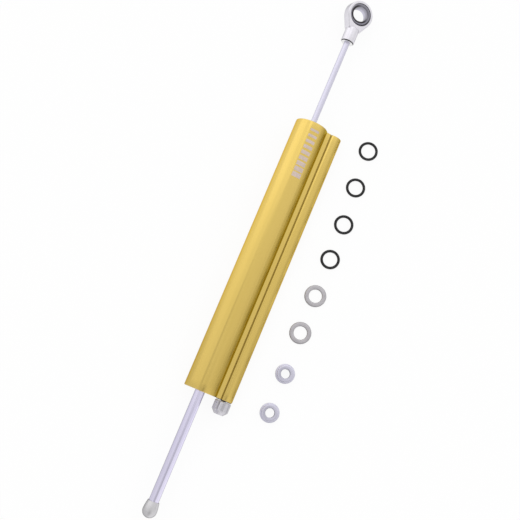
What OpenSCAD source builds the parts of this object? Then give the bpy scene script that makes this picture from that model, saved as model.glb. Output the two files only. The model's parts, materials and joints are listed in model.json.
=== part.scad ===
// Linear steering damper in millimetres: a stepped through rod in a twin-tube body,
// with a ball rod end, a needle adjuster and a loose set of fitting rings.
// X runs along the rod from the rod end to the end cap, and Z is up.
// The origin is the centre of the rod end's ball.

/* [Body] */
// Length of the extruded body
body_length = 170; // [160:1:200]
// Outside diameter of the main tube
tube_d = 20; // [19:0.1:22]
// Bore of the main tube
tube_bore_d = 15; // [14.4:0.1:16]
// Outside diameter of the side tube
side_d = 10; // [9.8:0.1:11]
// Bore of the side tube, which is the oil reservoir
side_bore_d = 6.6; // [6.2:0.1:7]
// Distance between the axes of the two tubes
tube_spacing = 15.5; // [15:0.1:16.5]
// Thickness of the web that joins the tubes
web_thickness = 7.8; // [6:0.1:8.6]
// Radius of the fine groove between the web and the side tube
line_groove_r = 0.35; // [0.2:0.05:0.5]
// Chamfer on the end edges of the body
body_chamfer = 0.6; // [0.3:0.1:0.9]
// Chamfer on the mouths of the bores
mouth_chamfer = 0.4; // [0.2:0.1:0.6]

/* [Rod] */
// Diameter of the rod on the rod end side
upper_rod_d = 3.5; // [3.3:0.1:4]
// Diameter of the rod on the end cap side
lower_rod_d = 5.9; // [5.6:0.1:6.3]
// Length of bare rod between the rod end and the body
upper_bare = 56.9; // [54:0.1:70]
// Length of bare rod between the body and the end cap
lower_bare = 66.2; // [60:0.1:80]
// Length of rod inside the shank of the rod end
shank_hold = 8; // [6:0.5:9]
// Length of rod inside the end cap
cap_hold = 6; // [4:0.5:7]
// Chamfer on the rod's ends
rod_chamfer = 0.4; // [0.2:0.1:0.6]

/* [End cap] */
// Length of the end cap
cap_length = 9.7; // [9:0.1:14]
// Largest diameter of the end cap
cap_d = 8.4; // [8:0.1:10]
// Diameter of the end cap where the rod enters
cap_mouth_d = 7; // [7:0.1:7.8]
// Distance from the mouth of the end cap to its widest place
cap_wide_at = 5.6; // [4.6:0.1:6.4]

/* [Rod end] */
// Outside diameter of the eye
eye_d = 17; // [16.8:0.1:20]
// Width of the eye between its flat faces
eye_width = 6; // [5.6:0.1:7]
// Chamfer on the edges of the eye
eye_chamfer = 0.5; // [0.2:0.1:0.8]
// Turn of the eye about the rod, from upright
eye_turn = 23; // [0:1:60]
// Diameter of the shank
shank_d = 8.2; // [7.4:0.1:8.4]
// Distance from the centre of the eye to the start of the round shank
shank_start = 9.4; // [8.8:0.1:10]
// Distance from the centre of the eye to the end of the shank
shank_end = 19.1; // [18:0.1:24]
// Distance from the centre of the eye to the end of its tapered neck
neck_end = 10.5; // [10:0.1:12]
// Outside diameter of the race
race_d = 15.2; // [15:0.1:15.4]
// Width of the race
race_width = 5; // [4.6:0.1:5.2]
// Height of the lips that hold the race in the eye
race_lip = 0.5; // [0.3:0.05:0.6]
// Diameter of the ball
ball_d = 14.1; // [13.8:0.05:14.2]
// Width of the ball between its flat faces
ball_width = 6.6; // [6.2:0.1:7.6]
// Bore of the ball
ball_bore_d = 9; // [8:0.1:9.6]
// Chamfer on the mouths of the ball's bore
ball_chamfer = 0.3; // [0.1:0.05:0.4]
// Tilt of the ball in the eye at rest
ball_tilt = 9; // [0:1:12]

/* [Seal heads] */
// Depth of each seal head below the end of the body
head_recess = 2; // [1.8:0.1:2.6]
// Length of each seal head
head_length = 16; // [15.5:0.1:18]
// Length of the slimmer nose at the inner end of each head
nose_length = 3; // [2.6:0.1:3.4]
// Radial space around that nose
nose_space = 1.4; // [1:0.1:1.6]
// Length of each wiper
wiper_length = 3; // [2:0.1:3.4]
// Wall of each wiper
wiper_wall = 2.2; // [1.8:0.1:2.6]
// Height of the wiper's lip
wiper_lip = 0.8; // [0.4:0.1:1.2]
// Land between the wiper and the rod seal
seal_land = 1.5; // [1:0.1:2]
// Length of each rod seal
seal_length = 3; // [2.4:0.1:3.4]
// Wall of each rod seal
seal_wall = 1.8; // [1.4:0.1:2]
// Length of each guide bush
bush_length = 6; // [4:0.1:6.4]
// Wall of each guide bush
bush_wall = 1.4; // [1:0.1:1.8]
// Section of the O-ring around each head
head_ring_d = 1.4; // [1.2:0.05:1.5]
// Thickness of each circlip
circlip_thickness = 1; // [0.8:0.05:1.2]
// Radial width of each circlip
circlip_width = 1.3; // [1:0.1:1.6]
// Radial depth of each circlip groove
circlip_depth = 0.5; // [0.3:0.05:0.7]
// Opening of each circlip
circlip_opening = 3; // [2:0.1:4]
// Diameter of each circlip's ears
ear_d = 2.4; // [2:0.1:2.6]
// Diameter of the holes in those ears
ear_hole_d = 1; // [0.8:0.1:1.2]

/* [Piston] */
// Length of the piston
piston_length = 14; // [12:0.5:15]
// Gap at rest between the piston and the lower seal head
piston_gap = 54.5; // [40:0.5:60]
// Width of the piston band
band_width = 5; // [3:0.1:6]
// Thickness of the piston band
band_thickness = 1.2; // [0.8:0.1:1.3]
// Width across the flats of the piston nut
nut_flats = 6; // [5.6:0.1:6.4]
// Thickness of the piston nut
nut_thickness = 3.2; // [2:0.1:4]
// Diameter of each bleed hole
bleed_d = 1.2; // [0.8:0.1:1.4]
// Number of bleed holes
bleed_count = 4; // [2:1:8]

/* [Reservoir] */
// Length of the floating piston
float_length = 9; // [7:0.5:14]
// Gap at rest between the needle seat and the floating piston
float_gap = 37; // [34:0.5:44]
// Section of the O-ring around the floating piston
float_ring_d = 1.2; // [1:0.05:1.3]
// Depth of the hollow in the floating piston
float_hollow = 3; // [2:0.1:3.2]
// Length of the reservoir plug
plug_length = 10; // [8:0.5:14]
// Diameter of the reservoir plug
plug_d = 7.4; // [7.2:0.1:7.6]
// Width across the flats of the plug's key socket
plug_socket = 3; // [2:0.1:3.4]
// Depth of the plug's key socket
socket_depth = 3; // [2:0.1:3.4]
// Section of the O-ring around the plug
plug_ring_d = 1.2; // [1:0.05:1.3]
// Diameter of the cross port from the main bore to the side bore
port_d = 2; // [1.2:0.1:2.2]
// Diameter of the plug that closes the drilling of the cross port
port_plug_d = 2.4; // [2.2:0.1:2.8]
// Depth of that plug's face below the side tube
port_plug_sunk = 0.25; // [0.2:0.05:0.4]

/* [Adjuster] */
// Diameter of the knob
knob_d = 9.8; // [9.4:0.1:10.4]
// Length of the knob
knob_length = 7.9; // [7.6:0.1:12]
// Gap between the knob and the bush's flange
knob_gap = 0.3; // [0.2:0.05:0.5]
// Length of the slope at the end of the knob
knob_slope = 2.4; // [1:0.1:2.6]
// Radial height of that slope
knob_drop = 2.2; // [1:0.1:2.4]
// Number of flutes around the knob
flute_count = 8; // [6:1:12]
// Turn of the first flute from the top towards the right side
flute_turn = 15; // [0:1:45]
// Radius of each flute
flute_r = 1.4; // [1:0.1:1.8]
// Depth of each flute
flute_depth = 0.5; // [0.2:0.05:0.6]
// Diameter of the adjuster bush in the side tube
bush_d = 7.4; // [7.2:0.1:7.6]
// Length of the adjuster bush inside the body
bush_depth = 14; // [12:0.1:14]
// Diameter of the bush's flange
flange_d = 9.2; // [8.6:0.1:9.4]
// Thickness of the bush's flange
flange_thickness = 0.3; // [0.2:0.05:0.5]
// Section of the O-ring around the bush
bush_ring_d = 1; // [0.8:0.05:1.1]
// Diameter of the spindle
spindle_d = 3; // [2.8:0.1:3.2]
// Length of the spindle inside the knob
spindle_hold = 6; // [5.4:0.1:6.2]
// Length of the bush that the spindle turns in
spindle_bearing = 5; // [4:0.1:5.4]
// Section of the O-ring around the spindle
spindle_ring_d = 0.6; // [0.5:0.05:0.7]
// Diameter of the spindle's collar
collar_d = 4.4; // [4:0.1:4.5]
// Length of the spindle's collar
collar_length = 1.5; // [1:0.1:2]
// Diameter of the spindle's threaded stud
stud_d = 2; // [1.6:0.1:2.2]
// Width across the flats of the needle's hexagon
needle_flats = 4.7; // [4.6:0.05:4.8]
// Length of the needle's hexagon
needle_hex = 4.4; // [4.2:0.1:4.8]
// Diameter of the needle
needle_d = 2.2; // [1.8:0.1:2.4]
// Length of the needle's point
needle_point = 2.2; // [1.6:0.1:2.6]
// Diameter of the hole in the needle seat
seat_hole_d = 1.6; // [1.5:0.05:2]
// Length of the needle seat
seat_length = 4; // [3:0.1:6]
// Distance from the cross port to the needle seat
seat_offset = 2; // [1.6:0.1:2.6]
// Diameter of the click ball
click_ball_d = 1.6; // [1.4:0.05:1.7]
// Radius of the circle of click dimples
click_circle = 2.75; // [2.6:0.05:2.8]
// Depth of each click dimple
click_depth = 0.3; // [0.2:0.05:0.4]
// Number of clicks in a turn
click_count = 12; // [8:4:12]
// Depth of the click ball's hole in the knob
click_hole = 3.6; // [3:0.1:4]
// Diameter of the click spring's wire
click_wire = 0.22; // [0.15:0.01:0.25]
// Turns of the click spring
click_turns = 4; // [3:1:5]
// Diameter of the grub screw
grub_d = 2; // [1.6:0.1:2.2]
// Length of the grub screw
grub_length = 2.4; // [1.8:0.1:2.6]

/* [Loose rings] */
// Inside diameter of each loose O-ring
o_ring_bore_d = 8.6; // [7.6:0.1:9.4]
// Section of each loose O-ring
o_ring_section = 1.6; // [1.4:0.1:2]
// Outside diameter of each washer
washer_d = 13.1; // [12:0.1:15]
// Hole of each washer
washer_bore_d = 8; // [7.4:0.1:8.6]
// Thickness of each washer
washer_thickness = 1.6; // [1.2:0.1:2]
// Diameter of each spacer's flange
spacer_d = 11.6; // [11:0.1:13]
// Thickness of each spacer's flange
spacer_flange = 1.6; // [1.2:0.1:2.5]
// Diameter of each spacer's spigot
spacer_spigot_d = 9.9; // [8.6:0.1:10]
// Height of each spacer
spacer_height = 4.4; // [3.5:0.1:7]
// Hole of each spacer
spacer_bore_d = 5.5; // [5:0.1:6]
// Chamfer on the washers and the spacers
ring_chamfer = 0.4; // [0.2:0.1:0.5]
// Places of the loose O-rings along the rod
o_ring_x = [74, 98.2, 122.1, 144.9]; // [70:0.1:156]
// Distances of the loose O-rings from the rod
o_ring_y = [37.6, 38.9, 40.7, 41]; // [36:0.1:60]
// Places of the washers along the rod
washer_x = [168.7, 192.4]; // [164:0.1:204]
// Distances of the washers from the rod
washer_y = [41.1, 41.1]; // [36:0.1:60]
// Places of the spacers along the rod
spacer_x = [218, 242.3]; // [214:0.1:260]
// Distances of the spacers from the rod
spacer_y = [41.9, 42.1]; // [36:0.1:60]

/* [Clearances] */
// Radial clearance of pieces that turn or slide on one another
run_clear = 0.05; // [0.03:0.01:0.08]
// Radial clearance of pieces that are fixed in one another
fit_clear = 0.03; // [0.02:0.01:0.04]
// End play of pieces held in a groove
end_play = 0.05; // [0.03:0.01:0.08]
// Radial clearance between the piston and the bore
piston_clear = 0.2; // [0.15:0.01:0.3]
// Radial clearance between the rod and the lands of a seal head
land_clear = 0.25; // [0.15:0.01:0.3]
// Room beside and below each O-ring in its groove
ring_room = 0.1; // [0.05:0.01:0.15]

/* [Hidden] */
$fn = 96;
side_drop = (tube_d - side_d) / 2;
side_y = sqrt(tube_spacing * tube_spacing - side_drop * side_drop);
lie_angle = asin(side_drop / tube_spacing);
table_z = -tube_d / 2;
web_chamfer = 0.7 * body_chamfer;
body_top = shank_end + upper_bare;
body_bottom = body_top + body_length;
cap_top = body_bottom + lower_bare;
rod_start = shank_end - shank_hold;
rod_stop = cap_top + cap_hold;
head_depth = head_recess + head_length;
piston_bottom = body_bottom - head_depth - piston_gap;
piston_top = piston_bottom - piston_length;
head_r = tube_bore_d / 2 - fit_clear;
seal_at = wiper_length + seal_land;
bush_at = head_length - bush_length;
ring_at = (seal_at + seal_length + bush_at) / 2;
piston_r = tube_bore_d / 2 - piston_clear;
band_r = tube_bore_d / 2 - run_clear;
band_seat_r = band_r - band_thickness - run_clear;
band_at = (piston_length - band_width) / 2 - end_play;
nut_pocket_r = nut_flats / 2 / cos(30) + 0.25;
nut_pocket = nut_thickness + 0.3;
bleed_circle = (nut_pocket_r + band_seat_r) / 2;
web_corner = tube_spacing - sqrt(side_d * side_d - web_thickness * web_thickness) / 2;
port_depth = head_depth - nose_length / 2;
seat_depth = port_depth + seat_offset;
float_depth = seat_depth + seat_length + float_gap;
knob_top = flange_thickness + knob_gap;
hex_flats = needle_flats + 2 * run_clear;
needle_start = seat_depth - 5.5 - needle_hex;
stud_end = needle_start + 3.4;
click_ball_at = flange_thickness + fit_clear + click_ball_d / 2;
spring_top = click_ball_at + click_ball_d / 2 + fit_clear;
spring_end = knob_top + click_hole;
spring_r = click_ball_d / 2 - click_wire / 2 - 0.05;

// Places along the damper

module along(x) {
    translate([x, 0, 0])
        rotate([0, 90, 0])
            children();
}

module from_top(depth) {
    along(body_top + depth)
        children();
}

module from_bottom(depth) {
    translate([body_bottom - depth, 0, 0])
        rotate([0, -90, 0])
            children();
}

module on_side() {
    translate([0, side_y, -side_drop])
        children();
}

module web_frame() {
    rotate([-lie_angle, 0, 0])
        children();
}

module eye_frame() {
    rotate([-eye_turn, 0, 0])
        children();
}

module ball_frame() {
    rotate([ball_tilt - eye_turn, 0, 0])
        children();
}

module on_table(x, y) {
    translate([x, y, table_z])
        children();
}

// Plain shapes

module bar(r, length, c) {
    rotate_extrude()
        polygon([
            [0, 0], [r - c, 0], [r, c], [r, length - c], [r - c, length], [0, length]
        ]);
}

module sleeve(r_out, r_in, length) {
    rotate_extrude()
        polygon([[r_in, 0], [r_out, 0], [r_out, length], [r_in, length]]);
}

module o_ring(r_mid, section) {
    rotate_extrude()
        translate([r_mid, 0])
            circle(d = section, $fn = 32);
}

module hexagon(flats, length) {
    cylinder(r = flats / 2 / cos(30), h = length, $fn = 6);
}

// The body and what is fixed in it

module web() {
    bar_side = web_chamfer * sqrt(2);
    difference() {
        web_frame()
            translate([body_top, 0, -web_thickness / 2])
                cube([body_length, tube_spacing, web_thickness]);
        for (x = [body_top, body_bottom], s = [-1, 1])
            web_frame()
                translate([x, tube_spacing / 2, s * web_thickness / 2])
                    rotate([0, 45, 0])
                        cube([bar_side, tube_spacing + 2, bar_side], center = true);
    }
}

module main_bore() {
    slot = circlip_thickness + end_play;
    from_top(-1)
        cylinder(d = tube_bore_d, h = body_length + 2);
    from_top(head_recess - slot)
        cylinder(r = tube_bore_d / 2 + circlip_depth, h = slot);
    from_bottom(head_recess - slot)
        cylinder(r = tube_bore_d / 2 + circlip_depth, h = slot);
    from_top(0)
        cylinder(r1 = tube_bore_d / 2 + mouth_chamfer, r2 = tube_bore_d / 2, h = mouth_chamfer);
    from_bottom(0)
        cylinder(r1 = tube_bore_d / 2 + mouth_chamfer, r2 = tube_bore_d / 2, h = mouth_chamfer);
}

module side_bore() {
    on_side()
        from_top(-1)
            cylinder(d = side_bore_d, h = body_length + 2);
    on_side()
        from_top(-1)
            cylinder(r = plug_d / 2 + fit_clear, h = plug_length + 1);
    on_side()
        from_bottom(-1)
            cylinder(r = bush_d / 2 + fit_clear, h = bush_depth + 1);
}

module cross_port() {
    translate([body_bottom - port_depth, 0, 0])
        rotate([-90, 0, 0])
            cylinder(d = port_d, h = tube_spacing);
    translate([body_bottom - port_depth, tube_spacing, 0])
        rotate([-90, 0, 0])
            cylinder(r = port_plug_d / 2 + fit_clear, h = side_d);
}

module line_grooves() {
    for (s = [-1, 1])
        translate([body_top - 1, web_corner, s * web_thickness / 2])
            rotate([0, 90, 0])
                cylinder(r = line_groove_r, h = body_length + 2, $fn = 24);
}

module body() {
    color("goldenrod")
        difference() {
            union() {
                from_top(0)
                    bar(tube_d / 2, body_length, body_chamfer);
                on_side()
                    from_top(0)
                        bar(side_d / 2, body_length, body_chamfer);
                web();
            }
            main_bore();
            side_bore();
            web_frame()
                cross_port();
            web_frame()
                line_grooves();
        }
}

module seal_head(rod_d) {
    rod_r = rod_d / 2;
    slot = head_ring_d / 2 + ring_room;
    slot_r = head_r - head_ring_d - ring_room;
    nose_r = head_r - nose_space;
    nose_at = head_length - nose_length;
    rotate_extrude()
        polygon([
            [rod_r + wiper_wall, 0], [head_r, 0],
            [head_r, ring_at - slot], [slot_r, ring_at - slot],
            [slot_r, ring_at + slot], [head_r, ring_at + slot],
            [head_r, nose_at], [nose_r, nose_at], [nose_r, head_length],
            [rod_r + bush_wall, head_length], [rod_r + bush_wall, bush_at],
            [rod_r + land_clear, bush_at], [rod_r + land_clear, seal_at + seal_length],
            [rod_r + seal_wall, seal_at + seal_length], [rod_r + seal_wall, seal_at],
            [rod_r + land_clear, seal_at], [rod_r + land_clear, wiper_length],
            [rod_r + wiper_wall, wiper_length]
        ]);
}

module guide_bush(rod_d) {
    sleeve(rod_d / 2 + bush_wall - fit_clear, rod_d / 2 + run_clear, bush_length);
}

module rod_seal(rod_d) {
    r_in = rod_d / 2 + run_clear;
    r_out = rod_d / 2 + seal_wall - fit_clear;
    rotate_extrude()
        polygon([
            [r_in, 0], [r_out, 0], [r_out, seal_length - end_play],
            [r_out - 0.4, seal_length - end_play], [(r_in + r_out) / 2, seal_length - 1.1],
            [r_in + 0.4, seal_length - end_play], [r_in, seal_length - end_play]
        ]);
}

module wiper(rod_d) {
    r_in = rod_d / 2 + run_clear;
    r_out = rod_d / 2 + wiper_wall - fit_clear;
    rotate_extrude()
        polygon([
            [r_in, -wiper_lip], [r_in + 0.4, -wiper_lip], [r_in + 1, 0],
            [r_out, 0], [r_out, wiper_length], [r_in, wiper_length]
        ]);
}

module head_ring() {
    o_ring(head_r - head_ring_d / 2, head_ring_d);
}

module circlip() {
    r_out = tube_bore_d / 2 + circlip_depth - fit_clear;
    r_in = r_out - circlip_width;
    ear_r = tube_bore_d / 2 - ear_d / 2 - run_clear;
    ear_y = circlip_opening / 2 + ear_d / 2 - 0.1;
    ear_x = sqrt(ear_r * ear_r - ear_y * ear_y);
    difference() {
        union() {
            sleeve(r_out, r_in, circlip_thickness);
            for (s = [-1, 1])
                translate([ear_x, s * ear_y, 0])
                    cylinder(d = ear_d, h = circlip_thickness);
        }
        translate([0, -circlip_opening / 2, -1])
            cube([r_out + 1, circlip_opening, circlip_thickness + 2]);
        for (s = [-1, 1])
            translate([ear_x, s * ear_y, -1])
                cylinder(d = ear_hole_d, h = circlip_thickness + 2);
    }
}

module upper_head() {
    color("silver")
        from_top(head_recess)
            seal_head(upper_rod_d);
}

module lower_head() {
    color("silver")
        from_bottom(head_recess)
            seal_head(lower_rod_d);
}

module upper_bush() {
    color("peru")
        from_top(head_recess + bush_at)
            guide_bush(upper_rod_d);
}

module lower_bush() {
    color("peru")
        from_bottom(head_recess + bush_at)
            guide_bush(lower_rod_d);
}

module upper_seal() {
    color("dimgray")
        from_top(head_recess + seal_at)
            rod_seal(upper_rod_d);
}

module lower_seal() {
    color("dimgray")
        from_bottom(head_recess + seal_at)
            rod_seal(lower_rod_d);
}

module upper_wiper() {
    color("darkslategray")
        from_top(head_recess)
            wiper(upper_rod_d);
}

module lower_wiper() {
    color("darkslategray")
        from_bottom(head_recess)
            wiper(lower_rod_d);
}

module upper_head_ring() {
    color("black")
        from_top(head_recess + ring_at)
            head_ring();
}

module lower_head_ring() {
    color("black")
        from_bottom(head_recess + ring_at)
            head_ring();
}

module upper_circlip() {
    color("gray")
        from_top(head_recess - circlip_thickness)
            circlip();
}

module lower_circlip() {
    color("gray")
        from_bottom(head_recess - circlip_thickness)
            circlip();
}

module reservoir_plug() {
    slot = plug_ring_d / 2 + ring_room;
    slot_r = plug_d / 2 - plug_ring_d - ring_room;
    ring_z = plug_length - 2.4;
    color("silver")
        on_side()
            from_top(0)
                difference() {
                    rotate_extrude()
                        polygon([
                            [0, 0.2], [plug_d / 2 - 0.3, 0.2], [plug_d / 2, 0.5],
                            [plug_d / 2, ring_z - slot], [slot_r, ring_z - slot],
                            [slot_r, ring_z + slot], [plug_d / 2, ring_z + slot],
                            [plug_d / 2, plug_length], [0, plug_length]
                        ]);
                    translate([0, 0, -1])
                        hexagon(plug_socket, socket_depth + 1.2);
                }
}

module plug_ring() {
    color("black")
        on_side()
            from_top(plug_length - 2.4)
                o_ring(plug_d / 2 - plug_ring_d / 2, plug_ring_d);
}

module port_plug() {
    length = (side_d - side_bore_d) / 2 - port_plug_sunk - 0.1;
    color("silver")
        web_frame()
            translate([body_bottom - port_depth, tube_spacing + side_bore_d / 2 + 0.1, 0])
                rotate([-90, 0, 0])
                    cylinder(d = port_plug_d, h = length);
}

module needle_seat() {
    r_out = side_bore_d / 2 - fit_clear;
    r_hole = seat_hole_d / 2;
    color("peru")
        on_side()
            from_bottom(seat_depth)
                rotate_extrude()
                    polygon([
                        [r_hole + 0.8, 0], [r_out, 0], [r_out, seat_length],
                        [r_hole, seat_length], [r_hole, 0.8]
                    ]);
}

module adjuster_bush() {
    slot = bush_ring_d / 2 + ring_room;
    slot_r = bush_d / 2 - bush_ring_d - ring_room;
    ring_z = spindle_bearing / 2;
    dimple_r = click_ball_d / 2 + 0.05;
    color("dimgray")
        on_side()
            from_bottom(0)
                difference() {
                    rotate_extrude()
                        polygon([
                            [spindle_d / 2 + run_clear, -flange_thickness],
                            [flange_d / 2, -flange_thickness], [flange_d / 2, 0],
                            [bush_d / 2, 0], [bush_d / 2, ring_z - slot],
                            [slot_r, ring_z - slot], [slot_r, ring_z + slot],
                            [bush_d / 2, ring_z + slot], [bush_d / 2, bush_depth],
                            [spindle_d / 2 + run_clear, bush_depth]
                        ]);
                    translate([0, 0, spindle_bearing])
                        hexagon(hex_flats, bush_depth);
                    for (k = [0 : click_count - 1])
                        rotate([0, 0, k * 360 / click_count])
                            translate([click_circle, 0, click_depth - flange_thickness - dimple_r])
                                sphere(r = dimple_r, $fn = 32);
                }
}

module adjuster_bush_ring() {
    color("black")
        on_side()
            from_bottom(spindle_bearing / 2)
                o_ring(bush_d / 2 - bush_ring_d / 2, bush_ring_d);
}

// The rod and what moves with it

module piston_band() {
    color("seagreen")
        along(piston_top + band_at + end_play)
            difference() {
                sleeve(band_r, band_seat_r + run_clear, band_width);
                translate([band_seat_r - 1, -0.25, -1])
                    cube([band_thickness + 3, 0.5, band_width + 2]);
            }
}

module rod() {
    upper_r = upper_rod_d / 2;
    lower_r = lower_rod_d / 2;
    step = piston_bottom - rod_start;
    length = rod_stop - rod_start;
    color("lightsteelblue")
        along(rod_start)
            rotate_extrude()
                polygon([
                    [0, 0], [upper_r - rod_chamfer, 0], [upper_r, rod_chamfer], [upper_r, step],
                    [lower_r, step], [lower_r, length - rod_chamfer],
                    [lower_r - rod_chamfer, length], [0, length]
                ]);
}

module piston() {
    rod_r = upper_rod_d / 2 + fit_clear;
    band_stop = band_at + band_width + 2 * end_play;
    color("slategray")
        along(piston_top)
            difference() {
                rotate_extrude()
                    polygon([
                        [rod_r, nut_pocket], [nut_pocket_r, nut_pocket], [nut_pocket_r, 0],
                        [piston_r - 0.4, 0], [piston_r, 0.4], [piston_r, band_at],
                        [band_seat_r, band_at], [band_seat_r, band_stop], [piston_r, band_stop],
                        [piston_r, piston_length - 0.4], [piston_r - 0.4, piston_length],
                        [rod_r, piston_length]
                    ]);
                for (k = [0 : bleed_count - 1])
                    rotate([0, 0, (k + 0.5) * 360 / bleed_count])
                        translate([bleed_circle, 0, -1])
                            cylinder(d = bleed_d, h = piston_length + 2, $fn = 24);
            }
}

module piston_nut() {
    color("gray")
        along(piston_top + nut_pocket - nut_thickness)
            difference() {
                hexagon(nut_flats, nut_thickness);
                translate([0, 0, -1])
                    cylinder(r = upper_rod_d / 2 + fit_clear, h = nut_thickness + 2);
            }
}

module end_cap() {
    steps = 14;
    mouth_r = cap_mouth_d / 2;
    wide_r = cap_d / 2;
    tip = cap_length - cap_wide_at;
    swell = [
        for (k = [0 : steps])
            [mouth_r + (wide_r - mouth_r) * sin(90 * k / steps), 0.3 + (cap_wide_at - 0.3) * k / steps]
    ];
    dome = [
        for (k = [1 : steps - 1])
            [wide_r * cos(90 * k / steps), cap_wide_at + tip * sin(90 * k / steps)]
    ];
    color("darkgray")
        along(cap_top)
            difference() {
                rotate_extrude()
                    polygon(concat([[0, 0], [mouth_r - 0.3, 0]], swell, dome, [[0, cap_length]]));
                translate([0, 0, -1])
                    cylinder(r = lower_rod_d / 2 + fit_clear, h = cap_hold + 1.3);
            }
}

module eye_plate() {
    eye_r = eye_d / 2;
    neck_r = sqrt(neck_end * neck_end + shank_d * shank_d / 4);
    tangent = atan2(shank_d / 2, neck_end) + acos(eye_r / neck_r);
    tx = eye_r * cos(tangent);
    ty = eye_r * sin(tangent);
    translate([0, 0, -eye_width / 2])
        bar(eye_r, eye_width, eye_chamfer);
    translate([0, 0, eye_chamfer - eye_width / 2])
        linear_extrude(eye_width - 2 * eye_chamfer)
            polygon([
                [0, 0], [tx, ty], [neck_end, shank_d / 2], [neck_end, -shank_d / 2], [tx, -ty]
            ]);
}

module rod_end_housing() {
    seat = race_width + 2 * end_play;
    color("gainsboro")
        eye_frame()
            difference() {
                union() {
                    eye_plate();
                    along(shank_start)
                        bar(shank_d / 2, shank_end - shank_start, 0.3);
                }
                translate([0, 0, -seat / 2])
                    cylinder(r = race_d / 2 + run_clear, h = seat);
                translate([0, 0, -eye_width])
                    cylinder(r = race_d / 2 - race_lip, h = 2 * eye_width);
                along(rod_start - 0.3)
                    cylinder(r = upper_rod_d / 2 + fit_clear, h = shank_hold + 2);
            }
}

module ball_race() {
    color("darkgray")
        eye_frame()
            difference() {
                translate([0, 0, -race_width / 2])
                    cylinder(d = race_d, h = race_width);
                sphere(r = ball_d / 2 + run_clear);
            }
}

module rod_end_ball() {
    bore_r = ball_bore_d / 2;
    half = ball_width / 2;
    color("silver")
        ball_frame()
            difference() {
                intersection() {
                    sphere(d = ball_d);
                    translate([0, 0, -half])
                        cylinder(d = ball_d + 2, h = ball_width);
                }
                translate([0, 0, -half - 1])
                    cylinder(r = bore_r, h = ball_width + 2);
                for (s = [0, 180])
                    rotate([s, 0, 0])
                        translate([0, 0, half - ball_chamfer])
                            cylinder(r1 = bore_r, r2 = bore_r + ball_chamfer, h = ball_chamfer);
            }
}

// The adjuster, in depths below the end of the body, so outward is negative

module adjuster_knob() {
    knob_r = knob_d / 2;
    color("gray")
        on_side()
            from_bottom(-knob_top - knob_length)
                difference() {
                    rotate_extrude()
                        polygon([
                            [0, 0], [knob_r - knob_drop, 0], [knob_r, knob_slope],
                            [knob_r, knob_length - 0.4], [knob_r - 0.4, knob_length],
                            [0, knob_length]
                        ]);
                    for (k = [0 : flute_count - 1])
                        rotate([0, 0, flute_turn + k * 360 / flute_count])
                            translate([knob_r + flute_r - flute_depth, 0, -1])
                                cylinder(r = flute_r, h = knob_length + 2, $fn = 32);
                    translate([0, 0, knob_length - spindle_hold - 0.2])
                        cylinder(r = spindle_d / 2 + fit_clear, h = spindle_hold + 1);
                    translate([click_circle, 0, knob_length - click_hole])
                        cylinder(r = click_ball_d / 2 + run_clear, h = click_hole + 1);
                    translate([0, 0, knob_length - spindle_hold + grub_d / 2 + 0.3])
                        rotate([0, -90, 0])
                            cylinder(r = grub_d / 2 + fit_clear, h = knob_d);
                }
}

module adjuster_spindle() {
    r = spindle_d / 2;
    slot = spindle_ring_d / 2 + ring_room / 2;
    slot_r = r - spindle_ring_d - ring_room / 2 + run_clear / 2;
    ring_z = spindle_bearing / 2;
    collar_z = spindle_bearing + end_play;
    color("silver")
        on_side()
            from_bottom(0)
                rotate_extrude()
                    polygon([
                        [0, -knob_top - spindle_hold], [r - 0.2, -knob_top - spindle_hold],
                        [r, 0.2 - knob_top - spindle_hold], [r, ring_z - slot],
                        [slot_r, ring_z - slot], [slot_r, ring_z + slot], [r, ring_z + slot],
                        [r, collar_z], [collar_d / 2, collar_z],
                        [collar_d / 2, collar_z + collar_length],
                        [stud_d / 2, collar_z + collar_length], [stud_d / 2, stud_end],
                        [0, stud_end]
                    ]);
}

module spindle_ring() {
    color("black")
        on_side()
            from_bottom(spindle_bearing / 2)
                o_ring(spindle_d / 2 + run_clear / 2 - spindle_ring_d / 2, spindle_ring_d);
}

module grub_screw() {
    color("dimgray")
        on_side()
            from_bottom(-knob_top - spindle_hold + grub_d / 2 + 0.3)
                rotate([0, -90, 0])
                    translate([0, 0, spindle_d / 2 + fit_clear])
                        difference() {
                            cylinder(d = grub_d, h = grub_length);
                            translate([0, 0, grub_length / 2])
                                hexagon(grub_d / 2, grub_length);
                        }
}

module click_spring() {
    per_turn = 16;
    sides = 8;
    count = click_turns * per_turn;
    low = -spring_end + click_wire / 2 + 0.02;
    rise = (spring_end - spring_top - click_wire - 0.04) / count;
    points = [
        for (k = [0 : count], j = [0 : sides - 1])
            let (
                a = k * 360 / per_turn,
                b = j * 360 / sides,
                r = spring_r + click_wire / 2 * cos(b)
            )
            [r * cos(a), r * sin(a), low + k * rise + click_wire / 2 * sin(b)]
    ];
    walls = [
        for (k = [0 : count - 1], j = [0 : sides - 1])
            let (n = (j + 1) % sides)
            [k * sides + n, k * sides + j, (k + 1) * sides + j, (k + 1) * sides + n]
    ];
    first_end = [for (j = [0 : sides - 1]) j];
    last_end = [for (j = [0 : sides - 1]) count * sides + sides - 1 - j];
    color("lightgray")
        on_side()
            from_bottom(0)
                translate([click_circle, 0, 0])
                    polyhedron(points, concat(walls, [first_end], [last_end]), convexity = 6);
}

module click_ball() {
    color("silver")
        on_side()
            from_bottom(-click_ball_at)
                translate([click_circle, 0, 0])
                    sphere(d = click_ball_d, $fn = 48);
}

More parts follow.
